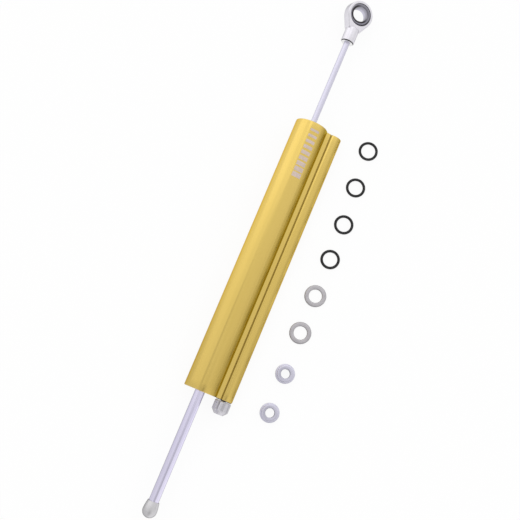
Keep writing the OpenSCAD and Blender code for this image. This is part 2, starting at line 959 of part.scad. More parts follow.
module needle() {
    r = needle_d / 2;
    hex_end = needle_start + needle_hex;
    point_at = seat_depth - 0.5;
    color("lightgray")
        on_side()
            from_bottom(0)
                difference() {
                    union() {
                        translate([0, 0, needle_start])
                            hexagon(needle_flats, needle_hex);
                        translate([0, 0, hex_end - 0.5])
                            cylinder(r = r, h = point_at - hex_end + 0.5);
                        translate([0, 0, point_at])
                            cylinder(r1 = r, r2 = 0.2, h = needle_point);
                    }
                    translate([0, 0, needle_start - 1])
                        cylinder(r = stud_d / 2 + run_clear, h = stud_end - needle_start + 1.6);
                }
}

module floating_piston() {
    r = side_bore_d / 2 - run_clear;
    slot = float_ring_d / 2 + ring_room;
    slot_r = r - float_ring_d - ring_room;
    ring_z = float_length / 2;
    color("slategray")
        on_side()
            from_bottom(float_depth)
                rotate_extrude()
                    polygon([
                        [0, 0], [r - 0.3, 0], [r, 0.3], [r, ring_z - slot],
                        [slot_r, ring_z - slot], [slot_r, ring_z + slot], [r, ring_z + slot],
                        [r, float_length - 0.3], [r - 0.3, float_length],
                        [r - 1.2, float_length], [r - 1.2, float_length - float_hollow],
                        [0, float_length - float_hollow]
                    ]);
}

module floating_ring() {
    color("black")
        on_side()
            from_bottom(float_depth + float_length / 2)
                o_ring(side_bore_d / 2 - run_clear - float_ring_d / 2 + 0.02, float_ring_d);
}

// The loose rings on the table

module o_rings() {
    color("black")
        for (k = [0 : len(o_ring_x) - 1])
            on_table(o_ring_x[k], o_ring_y[k])
                translate([0, 0, o_ring_section / 2])
                    o_ring(o_ring_bore_d / 2 + o_ring_section / 2, o_ring_section);
}

module washers() {
    r_out = washer_d / 2;
    r_in = washer_bore_d / 2;
    c = ring_chamfer;
    color("darkgray")
        for (k = [0 : len(washer_x) - 1])
            on_table(washer_x[k], washer_y[k])
                rotate_extrude()
                    polygon([
                        [r_in, 0], [r_out - c / 2, 0], [r_out, c / 2], [r_out, washer_thickness - c],
                        [r_out - c, washer_thickness], [r_in, washer_thickness]
                    ]);
}

module spacers() {
    r_out = spacer_d / 2;
    r_in = spacer_bore_d / 2;
    spigot_r = spacer_spigot_d / 2;
    c = ring_chamfer;
    color("lavender")
        for (k = [0 : len(spacer_x) - 1])
            on_table(spacer_x[k], spacer_y[k])
                rotate_extrude()
                    polygon([
                        [r_in, 0], [r_out - c, 0], [r_out, c], [r_out, spacer_flange - c],
                        [r_out - c, spacer_flange], [spigot_r, spacer_flange],
                        [spigot_r, spacer_height - c], [spigot_r - c, spacer_height],
                        [r_in, spacer_height]
                    ]);
}

body();
upper_head();
lower_head();
upper_bush();
lower_bush();
upper_seal();
lower_seal();
upper_wiper();
lower_wiper();
upper_head_ring();
lower_head_ring();
upper_circlip();
lower_circlip();
reservoir_plug();
plug_ring();
port_plug();
needle_seat();
adjuster_bush();
adjuster_bush_ring();
piston_band();
rod();
piston();
piston_nut();
rod_end_housing();
end_cap();
ball_race();
rod_end_ball();
adjuster_knob();
adjuster_spindle();
spindle_ring();
grub_screw();
click_spring();
click_ball();
needle();
floating_piston();
floating_ring();
o_rings();
washers();
spacers();
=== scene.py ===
# %% [markdown]
# A steering damper lies on a table beside the loose rings that fit it.
# Its solids come packed from the CAD step, and this file gives them their looks.
# Everything is in metres in the frame of the CAD: the origin is the centre of the rod end's ball,
# X runs down the rod to the end bulb, Y points to the side tube and Z is up.
# We load the solids first, because every later step asks them where things are.
# Small sizes read better in millimetres, so a helper turns those into metres.

# %% Load the solids
import json
import math

import bmesh
import bpy
import numpy as np
from mathutils import Matrix, Vector


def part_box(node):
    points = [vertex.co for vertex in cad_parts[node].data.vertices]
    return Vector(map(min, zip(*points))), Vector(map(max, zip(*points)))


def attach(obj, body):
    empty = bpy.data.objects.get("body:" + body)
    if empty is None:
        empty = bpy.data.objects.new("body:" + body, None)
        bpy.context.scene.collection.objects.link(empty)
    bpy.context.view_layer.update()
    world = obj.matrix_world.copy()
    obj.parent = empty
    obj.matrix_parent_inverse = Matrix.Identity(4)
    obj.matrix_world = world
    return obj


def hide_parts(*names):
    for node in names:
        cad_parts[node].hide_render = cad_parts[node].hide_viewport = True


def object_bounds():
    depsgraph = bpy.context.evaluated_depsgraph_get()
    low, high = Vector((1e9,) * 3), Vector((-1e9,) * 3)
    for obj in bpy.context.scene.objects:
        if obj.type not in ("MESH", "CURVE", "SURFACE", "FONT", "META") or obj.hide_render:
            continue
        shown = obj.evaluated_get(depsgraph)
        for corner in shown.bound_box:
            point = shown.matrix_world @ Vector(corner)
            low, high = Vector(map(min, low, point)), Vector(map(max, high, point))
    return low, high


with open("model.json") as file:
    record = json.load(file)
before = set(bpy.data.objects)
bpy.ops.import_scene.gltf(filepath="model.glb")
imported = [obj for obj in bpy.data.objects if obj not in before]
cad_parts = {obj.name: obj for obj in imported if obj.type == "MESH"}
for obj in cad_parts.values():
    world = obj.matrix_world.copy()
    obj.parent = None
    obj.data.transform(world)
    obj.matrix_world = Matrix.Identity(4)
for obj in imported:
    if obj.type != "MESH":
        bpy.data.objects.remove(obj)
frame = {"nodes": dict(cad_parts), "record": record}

cad_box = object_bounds()
record = frame["record"]
nodes = frame["nodes"]
scene = bpy.context.scene
MM = 0.001
MICRON = 0.000001


def mm(*lengths):
    """Lengths in millimetres, as metres."""
    return [length * MM for length in lengths]


def add_object(name, data):
    """A new object in the scene, at the origin."""
    made = bpy.data.objects.new(name, data)
    scene.collection.objects.link(made)
    return made


# %% [markdown]
# The photograph looks almost straight down on the table, from above the far end of the damper.
# A camera could be aimed by hand, but here its place was worked out from the way that the
# tubes grow wider towards the bottom of the picture. The rod leans across the picture,
# so the camera is also rolled. A camera's own axes are right, up and back, and those three
# directions are the columns of its rotation.

# %% Set up the camera
IMAGE_SIZE, FOCAL_PIXELS = 520, 909.9
TILT, ROLL = math.radians(8.745), math.radians(22.83)
CAMERA_PLACE = (0.24389, 0.00249, 0.52586)
SENSOR_WIDTH, NEAREST = 36, 0.01

back = Vector((math.sin(TILT), 0, math.cos(TILT)))
down_rod = Vector((math.cos(TILT), 0, -math.sin(TILT)))
to_side = Vector((0, 1, 0))
right = math.cos(ROLL) * to_side - math.sin(ROLL) * down_rod
up = -math.cos(ROLL) * down_rod - math.sin(ROLL) * to_side

lens = bpy.data.cameras.new("camera")
lens.sensor_width = SENSOR_WIDTH
lens.lens = FOCAL_PIXELS / IMAGE_SIZE * SENSOR_WIDTH
lens.clip_start = NEAREST
camera = add_object("camera", lens)
axes = Matrix((right, up, back)).transposed().to_4x4()
camera.matrix_world = Matrix.Translation(CAMERA_PLACE) @ axes
scene.camera = camera
scene.view_settings.view_transform = "Standard"
print("lens:", round(lens.lens, 1), "mm")

# %% [markdown]
# Materials and the world are made of nodes. They could be wired one by one, but sums of nodes
# are hard to read. So one small class stands for a socket, and writing a + b on two of them adds
# a Math node. Each operator has its reflected form, so that 1 - a works too.
# The node method adds any other kind: the type, then its settings, then what goes into it.

# %% A socket that can be added and multiplied
def operator_pair(operation):
    """The methods for socket + other and for other + socket, or another operation."""

    def forward(self, other):
        return self.maths(operation, self, other)

    def reflected(self, other):
        return self.maths(operation, other, self)

    return forward, reflected


class Flow:
    """One output socket in a node tree."""

    __add__, __radd__ = operator_pair("ADD")
    __sub__, __rsub__ = operator_pair("SUBTRACT")
    __mul__, __rmul__ = operator_pair("MULTIPLY")
    __truediv__, __rtruediv__ = operator_pair("DIVIDE")
    __pow__, __rpow__ = operator_pair("POWER")
    __gt__, __lt__ = operator_pair("GREATER_THAN")

    def __init__(self, tree, socket=None):
        self.tree = tree
        self.socket = socket

    def put(self, target, value):
        """Links a socket to the target, or sets the target to a number or a colour."""
        if isinstance(value, Flow):
            self.tree.links.new(value.socket, target)
        else:
            target.default_value = value

    def node(self, kind, settings=None, inputs=None, out=0):
        """Adds a node of any kind. A tuple of outputs gives a list of sockets."""
        made = self.tree.nodes.new(kind)
        for key, value in (settings or {}).items():
            setattr(made, key, value)
        for key, value in (inputs or {}).items():
            self.put(made.inputs[key], value)
        if isinstance(out, tuple):
            return [Flow(self.tree, made.outputs[key]) for key in out]
        return Flow(self.tree, made.outputs[out])

    def maths(self, operation, first, second=0.0):
        return self.node("ShaderNodeMath", {"operation": operation}, {0: first, 1: second})

    def __abs__(self):
        return self.maths("ABSOLUTE", self)

    def at_least(self, other):
        return self.maths("MAXIMUM", self, other)

    def at_most(self, other):
        return self.maths("MINIMUM", self, other)

    def parts(self):
        """The X, Y and Z of a vector."""
        return self.node("ShaderNodeSeparateXYZ", inputs={0: self}, out=("X", "Y", "Z"))

    def ramp(self, low, high):
        """A smooth climb from 0 at low to 1 at high."""
        settings = {"interpolation_type": "SMOOTHSTEP"}
        ends = {"Value": self, "From Min": low, "From Max": high}
        return self.node("ShaderNodeMapRange", settings, ends)

    def fall(self, low, high):
        """A smooth drop from 1 at low to 0 at high."""
        return 1 - self.ramp(low, high)

    def window(self, climb, drop):
        """1 between a smooth climb and a smooth drop, and 0 outside."""
        return self.ramp(*climb) * self.fall(*drop)

    def blend(self, first, second):
        """A colour between two others, with this value as the share of the second."""
        settings = {"data_type": "RGBA", "clamp_factor": True}
        return self.node("ShaderNodeMix", settings, {0: self, 6: first, 7: second}, 2)


def length_of(first, *others):
    """The length of a vector: the root of the sum of its parts' squares."""
    total = first * first
    for part in others:
        total = total + part * part
    return total ** 0.5


def empty_tree(owner):
    """The emptied node tree of a new material or world, to start from."""
    owner.use_nodes = True
    owner.node_tree.nodes.clear()
    return Flow(owner.node_tree)


print("operations:", [name for name in vars(Flow) if name.startswith("__r")])

# %% [markdown]
# The table is a pale floor under plain soft light, and the picture has a white background.
# More lamps would bleach the metal. So the floor keeps its shadow, but a share of it
# shines white for the rays that the camera, a mirror or glass sends.
# The lower half of the damper mirrors a darker table, so that shine falls along X for a mirror.
# Only the table on the right of the thick rod stays bright, and so does that edge of the rod.

# %% Make the floor
def grey(level):
    return (level, level, level, 1)


WHITE, BLACK, PAPER = grey(1), grey(0), grey(0.92)
TABLE = cad_box[0][2]
FLOOR_REACH, FLOOR_DROP = 40, 0.02 * MM
FLOOR_GLOW, FLOOR_FALL, FALL_X = 0.91, 0.3, mm(140, 250)
BRIGHT_X, BRIGHT_Y = mm(243, 253), mm(0, 8)

floor_mesh = bpy.data.meshes.new("floor")
floor_corners = FLOOR_REACH * np.array([[-1, -1], [1, -1], [1, 1], [-1, 1]])
floor_points = np.column_stack([floor_corners, np.full(4, TABLE - FLOOR_DROP)])
floor_mesh.from_pydata(floor_points.tolist(), [], [[0, 1, 2, 3]])
floor = add_object("floor", floor_mesh)

paper = bpy.data.materials.new("white_paper")
sheet = empty_tree(paper)
seen_rays = ("Is Camera Ray", "Is Glossy Ray", "Is Transmission Ray")
eye, mirror, glass = sheet.node("ShaderNodeLightPath", out=seen_rays)
down_table, across_table = sheet.node("ShaderNodeTexCoord", out="Object").parts()[:2]
by_thick_rod = down_table.ramp(*BRIGHT_X) * across_table.ramp(*BRIGHT_Y)
far = down_table.ramp(*FALL_X) * (1 - by_thick_rod)
shine = (1 - mirror * far * FLOOR_FALL).blend(BLACK, WHITE)
matt = sheet.node("ShaderNodeBsdfDiffuse", inputs={"Color": PAPER})
glow = sheet.node("ShaderNodeEmission", inputs={"Color": shine, "Strength": 1.0})
share = eye.at_least(mirror).at_least(glass) * FLOOR_GLOW
both = sheet.node("ShaderNodeMixShader", inputs={0: share, 1: matt, 2: glow})
sheet.node("ShaderNodeOutputMaterial", inputs={"Surface": both}, out=())
floor_mesh.materials.append(paper)
print("table at", round(TABLE / MM, 2), "mm")

# %% [markdown]
# A polished tube is mostly a picture of the room above it. In the photograph a bright band
# runs down the left of the main tube, then a thin darker line, then a calmer gold, and all of it
# is brightest towards the rod end. So the room is an even pale grey with two soft panels: a bright
# one on the left and a dimmer one overhead, with a dark gap between them.
# Lamps could make that room, but then each panel needs many lamps. A world that grows brighter
# by direction is smoother and quicker. The angle of a direction to the left or right picks
# the panel, and how far it points ahead along X sets the brightness. Behind the end bulb the panel
# overhead stops, and a low one on the right takes over. The camera itself sees plain white.

# %% Make the room
ROOM = 0.6
AHEAD_LEAST, AHEAD_MOST, LEFT_LEAST = -0.45, 0.1, -0.3


def left_light(side, ahead):
    """A broad panel on the left and a strip further left, both brighter towards the rod end."""
    edge = side - 0.16 * ahead.fall(-0.32, -0.18)
    level = ahead.at_least(LEFT_LEAST)
    by_rod = ahead.window((-0.36, -0.31), (-0.29, -0.2))
    broad = edge.fall(-0.38, -0.12) * (0.23 - level * 0.8 + by_rod * 0.1)
    strip = edge.fall(-0.92, -0.76) * (0.01 - level * 0.49)
    return broad + strip


def top_light(side, ahead, behind):
    """A calm panel overhead that fades to the right, and stops behind the bulb."""
    over = (side - ahead * 0.35).ramp(-0.21, -0.09) * side.fall(1.4, 1.7)
    rod_end = ahead.fall(-0.42, -0.34)
    middle = ahead.ramp(-0.1, -0.02) * side.fall(0.1, 0.6)
    level = 0.185 - ahead * 0.25 + rod_end * 0.13 + middle * 0.08
    fade = 1 - 0.45 * side.ramp(0.4, 1.3) * ahead.ramp(-0.25, -0.1)
    fade = fade - 0.5 * side.ramp(0.85, 1.3) * rod_end
    return over * level * fade * (1 - behind * 1.1)


def dark_gap(side, ahead):
    """The gap between the two panels, which lies further right behind the bulb."""
    place = side - 0.5 * ahead.ramp(0.006, 0.03)
    return place.window((-0.36, -0.25), (-0.21, -0.1)) * ahead.ramp(-0.2, -0.02) * 0.22


def room_light(start):
    """The brightness of the room in each direction."""
    x, y, z = start.node("ShaderNodeTexCoord", out="Generated").parts()
    side = x.maths("ARCTAN2", y, z)
    ahead = x.at_least(AHEAD_LEAST).at_most(AHEAD_MOST)
    behind = ahead.ramp(-0.03, 0.09)
    low_right = side.ramp(0.3, 0.9) * behind * 0.3
    panels = left_light(side, ahead) + top_light(side, ahead, behind) + low_right
    return ROOM + panels - dark_gap(side, ahead)


world = bpy.data.worlds.new("studio")
sky = empty_tree(world)
room = room_light(sky)
eye = sky.node("ShaderNodeLightPath", out="Is Camera Ray")
level = room + eye * (1 - room)
light = sky.node("ShaderNodeBackground", inputs={"Color": WHITE, "Strength": level})
sky.node("ShaderNodeOutputWorld", inputs={"Surface": light}, out=())
scene.world = world
print("room nodes:", len(world.node_tree.nodes))

# %% [markdown]
# The room alone leaves the shadows under the tubes a little deep. A stronger room would bleach
# the metal, so one wide lamp overhead fills the shadows, and metal doesn't show it.

# %% Fill the shadows
LAMP_PLACE, LAMP_SIZE, LAMP_LEVEL = (0.16, 0.0, 1.2), 2.4, 0.3

lamp = bpy.data.lights.new("fill_lamp", "AREA")
lamp.size = LAMP_SIZE
lamp.energy = math.pi * LAMP_LEVEL * LAMP_SIZE**2
fill = add_object("fill_lamp", lamp)
fill.location = LAMP_PLACE
fill.visible_camera = False
fill.visible_glossy = False
print("fill lamp:", round(lamp.energy, 2), "W")

# %% [markdown]
# New pieces are surfaces worked out as grids of points. A lathe part is a profile that is turned
# about an axis. Blender's own spin could turn it, but a formula keeps each size in sight.
# Real edges are never sharp, so the profile's corners are eased first.

# %% Profiles and lathes
TURN_STEPS = 120


def eased(corners, cuts, steps=6):
    """Rounds the corners of a closed line of points, which may be a stack of lines side by side.

    A corner c gives way to (1-u)^2 a + 2u(1-u) c + u^2 b for u from 0 to 1,
    where a and b lie that corner's cut back along its two sides.
    """
    corners = np.asarray(corners, float)
    flat = (1,) * (corners.ndim - 1)
    cuts = np.broadcast_to(np.asarray(cuts, float), corners.shape[:1]).reshape((-1,) + flat)
    before = np.roll(corners, 1, axis=0) - corners
    after = np.roll(corners, -1, axis=0) - corners
    a = corners + cuts * before / np.linalg.norm(before, axis=-1, keepdims=True)
    b = corners + cuts * after / np.linalg.norm(after, axis=-1, keepdims=True)
    u = np.linspace(0, 1, steps).reshape((1, -1) + flat)
    curve = (1 - u) ** 2 * a[:, None] + 2 * u * (1 - u) * corners[:, None] + u**2 * b[:, None]
    return curve.reshape((-1,) + corners.shape[1:])


def closed(line):
    """The same line with its first point again at its end."""
    return np.concatenate([line, line[:1]])


def arc(centre, radius, start, stop, count):
    """Points of a circle about centre, from one angle in degrees to another."""
    angle = np.radians(np.linspace(start, stop, count))
    return np.asarray(centre) + radius * np.column_stack([np.cos(angle), np.sin(angle)])


def directions(axis):
    """Two directions square to an axis and to each other, found from X or, near X, from Z."""
    along_x = abs(axis[0]) > 0.9
    helper = (0, 0, 1.0) if along_x else (1.0, 0, 0)
    first = np.cross(helper, axis)
    first /= np.linalg.norm(first)
    return first, np.cross(axis, first)


def turn(profile, centre, axis, steps=TURN_STEPS):
    """A lathe: centre + height * axis + radius * (cos a * first + sin a * second).

    The profile's rows are radius and height in millimetres.
    """
    axis = np.asarray(axis, float)
    radius, height = np.asarray(profile, float).T[:, :, None, None] * MM
    angle = np.linspace(0, 2 * np.pi, steps + 1)[None, :, None]
    first, second = directions(axis)
    spoke = np.cos(angle) * first + np.sin(angle) * second
    return np.asarray(centre, float) + height * axis + radius * spoke


print("a turned ring:", turn(arc((5, 0), 1, 0, 360, 9), (0, 0, 0), (0, 0, 1)).shape)

# %% [markdown]
# Grids meet at seams and at poles, where their points fall together. So merging points that
# lie in one place closes the mesh, and then the faces are turned outwards.
# Each point also keeps how far along the profile it lies, which later drives the tool marks.
# A piece rides on a body of the CAD, and may stand for one of its solids.

# %% From grids to a piece
MERGE = 0.2 * MICRON
replaced_nodes = set()


def joined(grids):
    """The points of all grids, their four-sided faces, and each point's place along its profile."""
    points, faces, along, start = [], [], [], 0
    for grid in grids:
        rows, columns = grid.shape[:2]
        index = start + np.arange(rows * columns).reshape(rows, columns)
        cells = index[:-1, :-1], index[1:, :-1], index[1:, 1:], index[:-1, 1:]
        faces.append(np.stack(cells, -1).reshape(-1, 4))
        stretch = np.linalg.norm(np.diff(grid, axis=0), axis=-1).mean(axis=1)
        distance = np.concatenate([[0], np.cumsum(stretch)])
        along.append(np.repeat(distance, columns))
        points.append(grid.reshape(-1, 3))
        start += rows * columns
    return np.concatenate(points), np.concatenate(faces), np.concatenate(along)


def make_piece(name, grids, body, stands_for=(), sharp=35):
    """One closed mesh from grids of points, riding on a body."""
    points, faces, along = joined(grids)
    mesh = bpy.data.meshes.new(name)
    mesh.from_pydata(points.tolist(), [], faces.tolist())
    layer = mesh.attributes.new("along", "FLOAT", "POINT")
    layer.data.foreach_set("value", along.astype(np.float32))
    work = bmesh.new()
    work.from_mesh(mesh)
    bmesh.ops.remove_doubles(work, verts=work.verts, dist=MERGE)
    bmesh.ops.dissolve_degenerate(work, dist=MERGE, edges=work.edges)
    bmesh.ops.recalc_face_normals(work, faces=work.faces)
    loose = sum(not edge.is_manifold for edge in work.edges)
    work.to_mesh(mesh)
    work.free()
    mesh.polygons.foreach_set("use_smooth", np.ones(len(mesh.polygons), bool))
    mesh.set_sharp_from_angle(angle=math.radians(sharp))
    piece = add_object(name, mesh)
    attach(piece, body)
    if stands_for:
        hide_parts(*stands_for)
        replaced_nodes.update(stands_for)
    print(name, "faces:", len(mesh.polygons), "open edges:", loose)
    return piece


def dress(piece, material):
    piece.data.materials.clear()
    piece.data.materials.append(material)


# %% [markdown]
# The same few patterns come back in every finish: the place on the object, grain that can be
# stretched along a tube, and rings left by a lathe. Pictures could carry them, but noise has no
# seams and no fixed sharpness. A finish is then one metal or rubber shader with those patterns
# in its colour, its roughness and its bumps.

# %% Patterns that the finishes share
class Finish:
    """A material with one shader, and the patterns that feed it."""

    def __init__(self, name, **constants):
        self.material = bpy.data.materials.new(name)
        self.start = empty_tree(self.material)
        self.sockets = {}
        self.feed(**constants)

    def feed(self, **values):
        for key, value in values.items():
            self.sockets[key.replace("_", " ").title()] = value

    def place(self):
        """X, Y and Z on the object, in metres."""
        return self.start.node("ShaderNodeTexCoord", out="Object").parts()

    def along(self):
        """The distance in metres along a piece's own profile, which its mesh carries."""
        return self.start.node("ShaderNodeAttribute", {"attribute_name": "along"}, out="Fac")

    def from_axis(self, centre):
        """The distance from an axis that runs along X through this Y and Z."""
        y, z = self.place()[1:]
        return length_of(y - centre[0], z - centre[1])

    def grain(self, scale, detail=2.0, rough=0.5):
        """Noise with this many grains to the metre, one number or three for X, Y and Z."""
        scales = scale if isinstance(scale, tuple) else (scale,) * 3
        where = self.start.node("ShaderNodeTexCoord", out="Object")
        spot = self.start.node("ShaderNodeMapping", inputs={"Vector": where, "Scale": scales})
        inputs = {"Vector": spot, "Scale": 1.0, "Detail": detail, "Roughness": rough}
        return self.start.node("ShaderNodeTexNoise", inputs=inputs)

    def rings(self, distance, pitch, detail=3.0):
        """Lathe rings: noise along one distance, with grains of this pitch in microns."""
        inputs = {"W": distance / (pitch * MICRON), "Scale": 1.0, "Detail": detail}
        return self.start.node("ShaderNodeTexNoise", {"noise_dimensions": "1D"}, inputs)

    def bumps(self, height, depth):
        """Bends the surface's normal as if height, from 0 to 1, were this many microns deep."""
        inputs = {"Height": height, "Distance": depth * MICRON, "Strength": 1.0}
        self.feed(normal=self.start.node("ShaderNodeBump", inputs=inputs))

    def done(self):
        """Adds the shader, and gives the finished material."""
        shader = self.start.node("ShaderNodeBsdfPrincipled", inputs=self.sockets)
        self.start.node("ShaderNodeOutputMaterial", inputs={"Surface": shader}, out=())
        print("finish:", self.material.name)
        return self.material


def shade(colour, level=1.0):
    """A colour made darker or lighter, as a shader's four numbers."""
    return tuple(min(level * part, 1) for part in colour) + (1,)


def mixed(first, second, share=0.5, low=0.2):
    """Two patterns, the first with this share, stretched to run from 0 at low to 1 at 1 - low."""
    return (first * share + second * (1 - share)).ramp(low, 1 - low)


# %% [markdown]
# The body is an aluminium extrusion: a thick tube, a thin one and a web between them.
# Three solids could be joined for it, but a join leaves ragged faces along the valley.
# So its outline is one chain of arcs and straight lines, in the web's own two directions:
# U runs from the thick tube to the thin one, and W is square to the web.
# A fine round groove marks where the thin tube leaves the web.

# %% The gold body's outline
TUBE_R, SIDE_R, SPACING = 10.0, 5.0, 15.5
WEB_HALF, GROOVE_R, CUT_U = 3.9, 0.35, 10.6
MAIN_POINTS, SIDE_POINTS, GROOVE_POINTS = 281, 181, 15
SIDE_DROP = TUBE_R - SIDE_R
WEB_LEAN = math.asin(SIDE_DROP / SPACING)
SIDE_AXIS = (SPACING * math.cos(WEB_LEAN) * MM, -SIDE_DROP * MM)
VALLEY_U = math.sqrt(TUBE_R**2 - WEB_HALF**2)
GROOVE_U = SPACING - math.sqrt(SIDE_R**2 - WEB_HALF**2)

valley_angle = math.degrees(math.atan2(WEB_HALF, VALLEY_U))
groove_angle = math.degrees(math.atan2(WEB_HALF, SPACING - GROOVE_U))
groove_span = math.degrees(2 * math.asin(GROOVE_R / 2 / SIDE_R))
side_start = 180 + groove_angle + groove_span
side_arc = arc((SPACING, 0), SIDE_R, side_start, 2 * 360 - side_start, SIDE_POINTS)
groove_end = side_arc[0] - (GROOVE_U, -WEB_HALF)
groove_stop = math.degrees(math.atan2(groove_end[1], groove_end[0]))
groove = arc((GROOVE_U, -WEB_HALF), GROOVE_R, 180, groove_stop, GROOVE_POINTS)
main_arc = arc((0, 0), TUBE_R, valley_angle, 360 - valley_angle, MAIN_POINTS)
main_part = np.vstack([[(CUT_U, WEB_HALF)], main_arc, [(CUT_U, -WEB_HALF)]])
far_groove = groove[::-1] * (1, -1)
side_part = np.vstack([main_part[-1:], groove, side_arc[1:-1], far_groove, main_part[:1]])
outline = np.vstack([main_part, side_part[1:]])
print("outline points:", len(outline))

# %% [markdown]
# Carrying the outline along X, a little smaller at both ends, gives the outside with eased edges.
# Each end face spans from the outline to two bores, and a grid can't have two holes.
# So the face is cut across the web, and each half is a fan of lines from a bore to the outline.
# The cut's points fall together, so no seam stays.

# %% The gold body
BODY_TOP, BODY_BOTTOM = [corner[0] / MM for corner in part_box("body")]
LENGTH = BODY_BOTTOM - BODY_TOP
EDGE, EDGE_STEPS, WALL_STEPS, CUT_STEPS, FACE_STEPS = 0.5, 6, 40, 12, 5
BORE_R, BORE_MOUTH, CLIP_DEPTH, CLIP_WIDE, CLIP_BITE = 7.5, 0.4, 2.0, 1.05, 0.5
SIDE_BORE_R, THREAD_R, TOP_THREAD, LOW_THREAD = 3.3, 3.73, 10.0, 14.0


def moved_in(loop, distance):
    """Moves each point of a closed loop inwards, square to the two sides that meet there."""
    side = np.diff(loop, axis=0)
    side /= np.linalg.norm(side, axis=1, keepdims=True)
    inward = np.column_stack([-side[:, 1], side[:, 0]])
    last = np.roll(inward, 1, axis=0)
    step = (inward + last) / (1 + (inward * last).sum(axis=1, keepdims=True))
    return closed(loop[:-1] + distance * step)


def in_web_frame(x, flat):
    """Points from X and the web's own two directions, which lean down to the side tube."""
    u, w = flat[..., 0], flat[..., 1]
    y = u * math.cos(WEB_LEAN) + w * math.sin(WEB_LEAN)
    z = w * math.cos(WEB_LEAN) - u * math.sin(WEB_LEAN)
    return np.stack(np.broadcast_arrays(x, y, z), -1) * MM


bend = np.radians(np.linspace(0, 90, EDGE_STEPS))
inset = EDGE * (1 - np.sin(bend))
setback = EDGE * (1 - np.cos(bend))
middle = np.linspace(BODY_TOP + EDGE, BODY_BOTTOM - EDGE, WALL_STEPS)[1:-1]
depths = np.concatenate([inset, np.zeros(len(middle)), inset[::-1]])
stations = np.concatenate([BODY_TOP + setback, middle, BODY_BOTTOM - setback[::-1]])
loops = np.stack([moved_in(outline, depth) for depth in depths])
wall = in_web_frame(stations[:, None], loops)

count = len(main_part)
rim_main, rim_side = loops[0][:count], loops[0][count - 1:]
cut_line = np.linspace(rim_main[-1], rim_main[0], CUT_STEPS)
rims = [np.vstack([rim_main, cut_line[1:]]), np.vstack([rim_side, cut_line[::-1][1:]])]

clip_top, clip_r = CLIP_DEPTH - CLIP_WIDE, BORE_R + CLIP_BITE
bore_end = [(BORE_R + BORE_MOUTH, 0), (BORE_R, BORE_MOUTH), (BORE_R, clip_top)]
bore_end += [(clip_r, clip_top), (clip_r, CLIP_DEPTH), (BORE_R, CLIP_DEPTH)]
bore_end = np.array(bore_end)
main_bore = np.vstack([bore_end, bore_end[::-1] * (1, -1) + (0, LENGTH)])
low_thread = LENGTH - LOW_THREAD
side_bore = [(THREAD_R, 0), (THREAD_R, TOP_THREAD), (SIDE_BORE_R, TOP_THREAD)]
side_bore += [(SIDE_BORE_R, low_thread), (THREAD_R, low_thread), (THREAD_R, LENGTH)]
side_bore = np.array(side_bore)

body_grids = [wall]
outward = np.linspace(0, 1, FACE_STEPS)[:, None, None]
for rim, centre, bore in zip(rims, ((0, 0), (SPACING, 0)), (main_bore, side_bore)):
    spoke = rim - centre
    spoke /= np.linalg.norm(spoke, axis=1, keepdims=True)
    hole = np.asarray(centre) + bore[:, :1, None] * spoke
    body_grids.append(in_web_frame(BODY_TOP + bore[:, 1][:, None], hole))
    for end, circle in ((BODY_TOP, hole[0]), (BODY_BOTTOM, hole[-1])):
        body_grids.append(in_web_frame(end, (1 - outward) * circle + outward * rim))
gold_body = make_piece("gold_body", body_grids, "barrel", ["body"])

# %% [markdown]
# The bar is polished and dyed gold. Extruding leaves faint lines that run its whole length,
# so its grain is stretched hundreds of times along X. The dye never takes quite evenly,
# so the colour drifts a little. Shade is painted into the colour: the gold is darker in the valley
# between the tubes, beside the web's corner, in the thin groove and a little on the outer flank of
# the thin tube, and at the lower end that painted shade spreads wider. The valley and the groove are
# rougher too. The sharp ends are rubbed pale.
# All of it follows the place on the body: the angle about the thick tube, U, W and X.

# %% Gold anodised aluminium
GOLD_DARK, GOLD_LIGHT = shade((0.775, 0.56, 0.145)), shade((0.82, 0.6, 0.17))
# Painted shade: the two golds on the next line darken the valley, the groove, the web's corner and the thin
# tube's outer flank.
GOLD_SHADE, GOLD_CORNER_SHADE = shade((0.36, 0.245, 0.042)), shade((0.5, 0.44, 0.07))
GOLD_WORN, GOLD_TINT = shade((0.86, 0.68, 0.3)), shade((0.8, 0.65, 0.35))


def degrees(*angles):
    """Angles in degrees, as radians."""
    return [math.radians(angle) for angle in angles]


def painted_flank_shade(x, angle):
    """Painted shade on the thick tube beside the valley, over a broader stretch at the lower end."""
    narrow = 0.84 * angle.fall(*degrees(52, 76))
    broad = 0.47 * angle.fall(*degrees(52, 82)) + 0.13 * angle.fall(*degrees(84, 94))
    return narrow + x.ramp(*mm(200, 232)) * (broad - narrow)


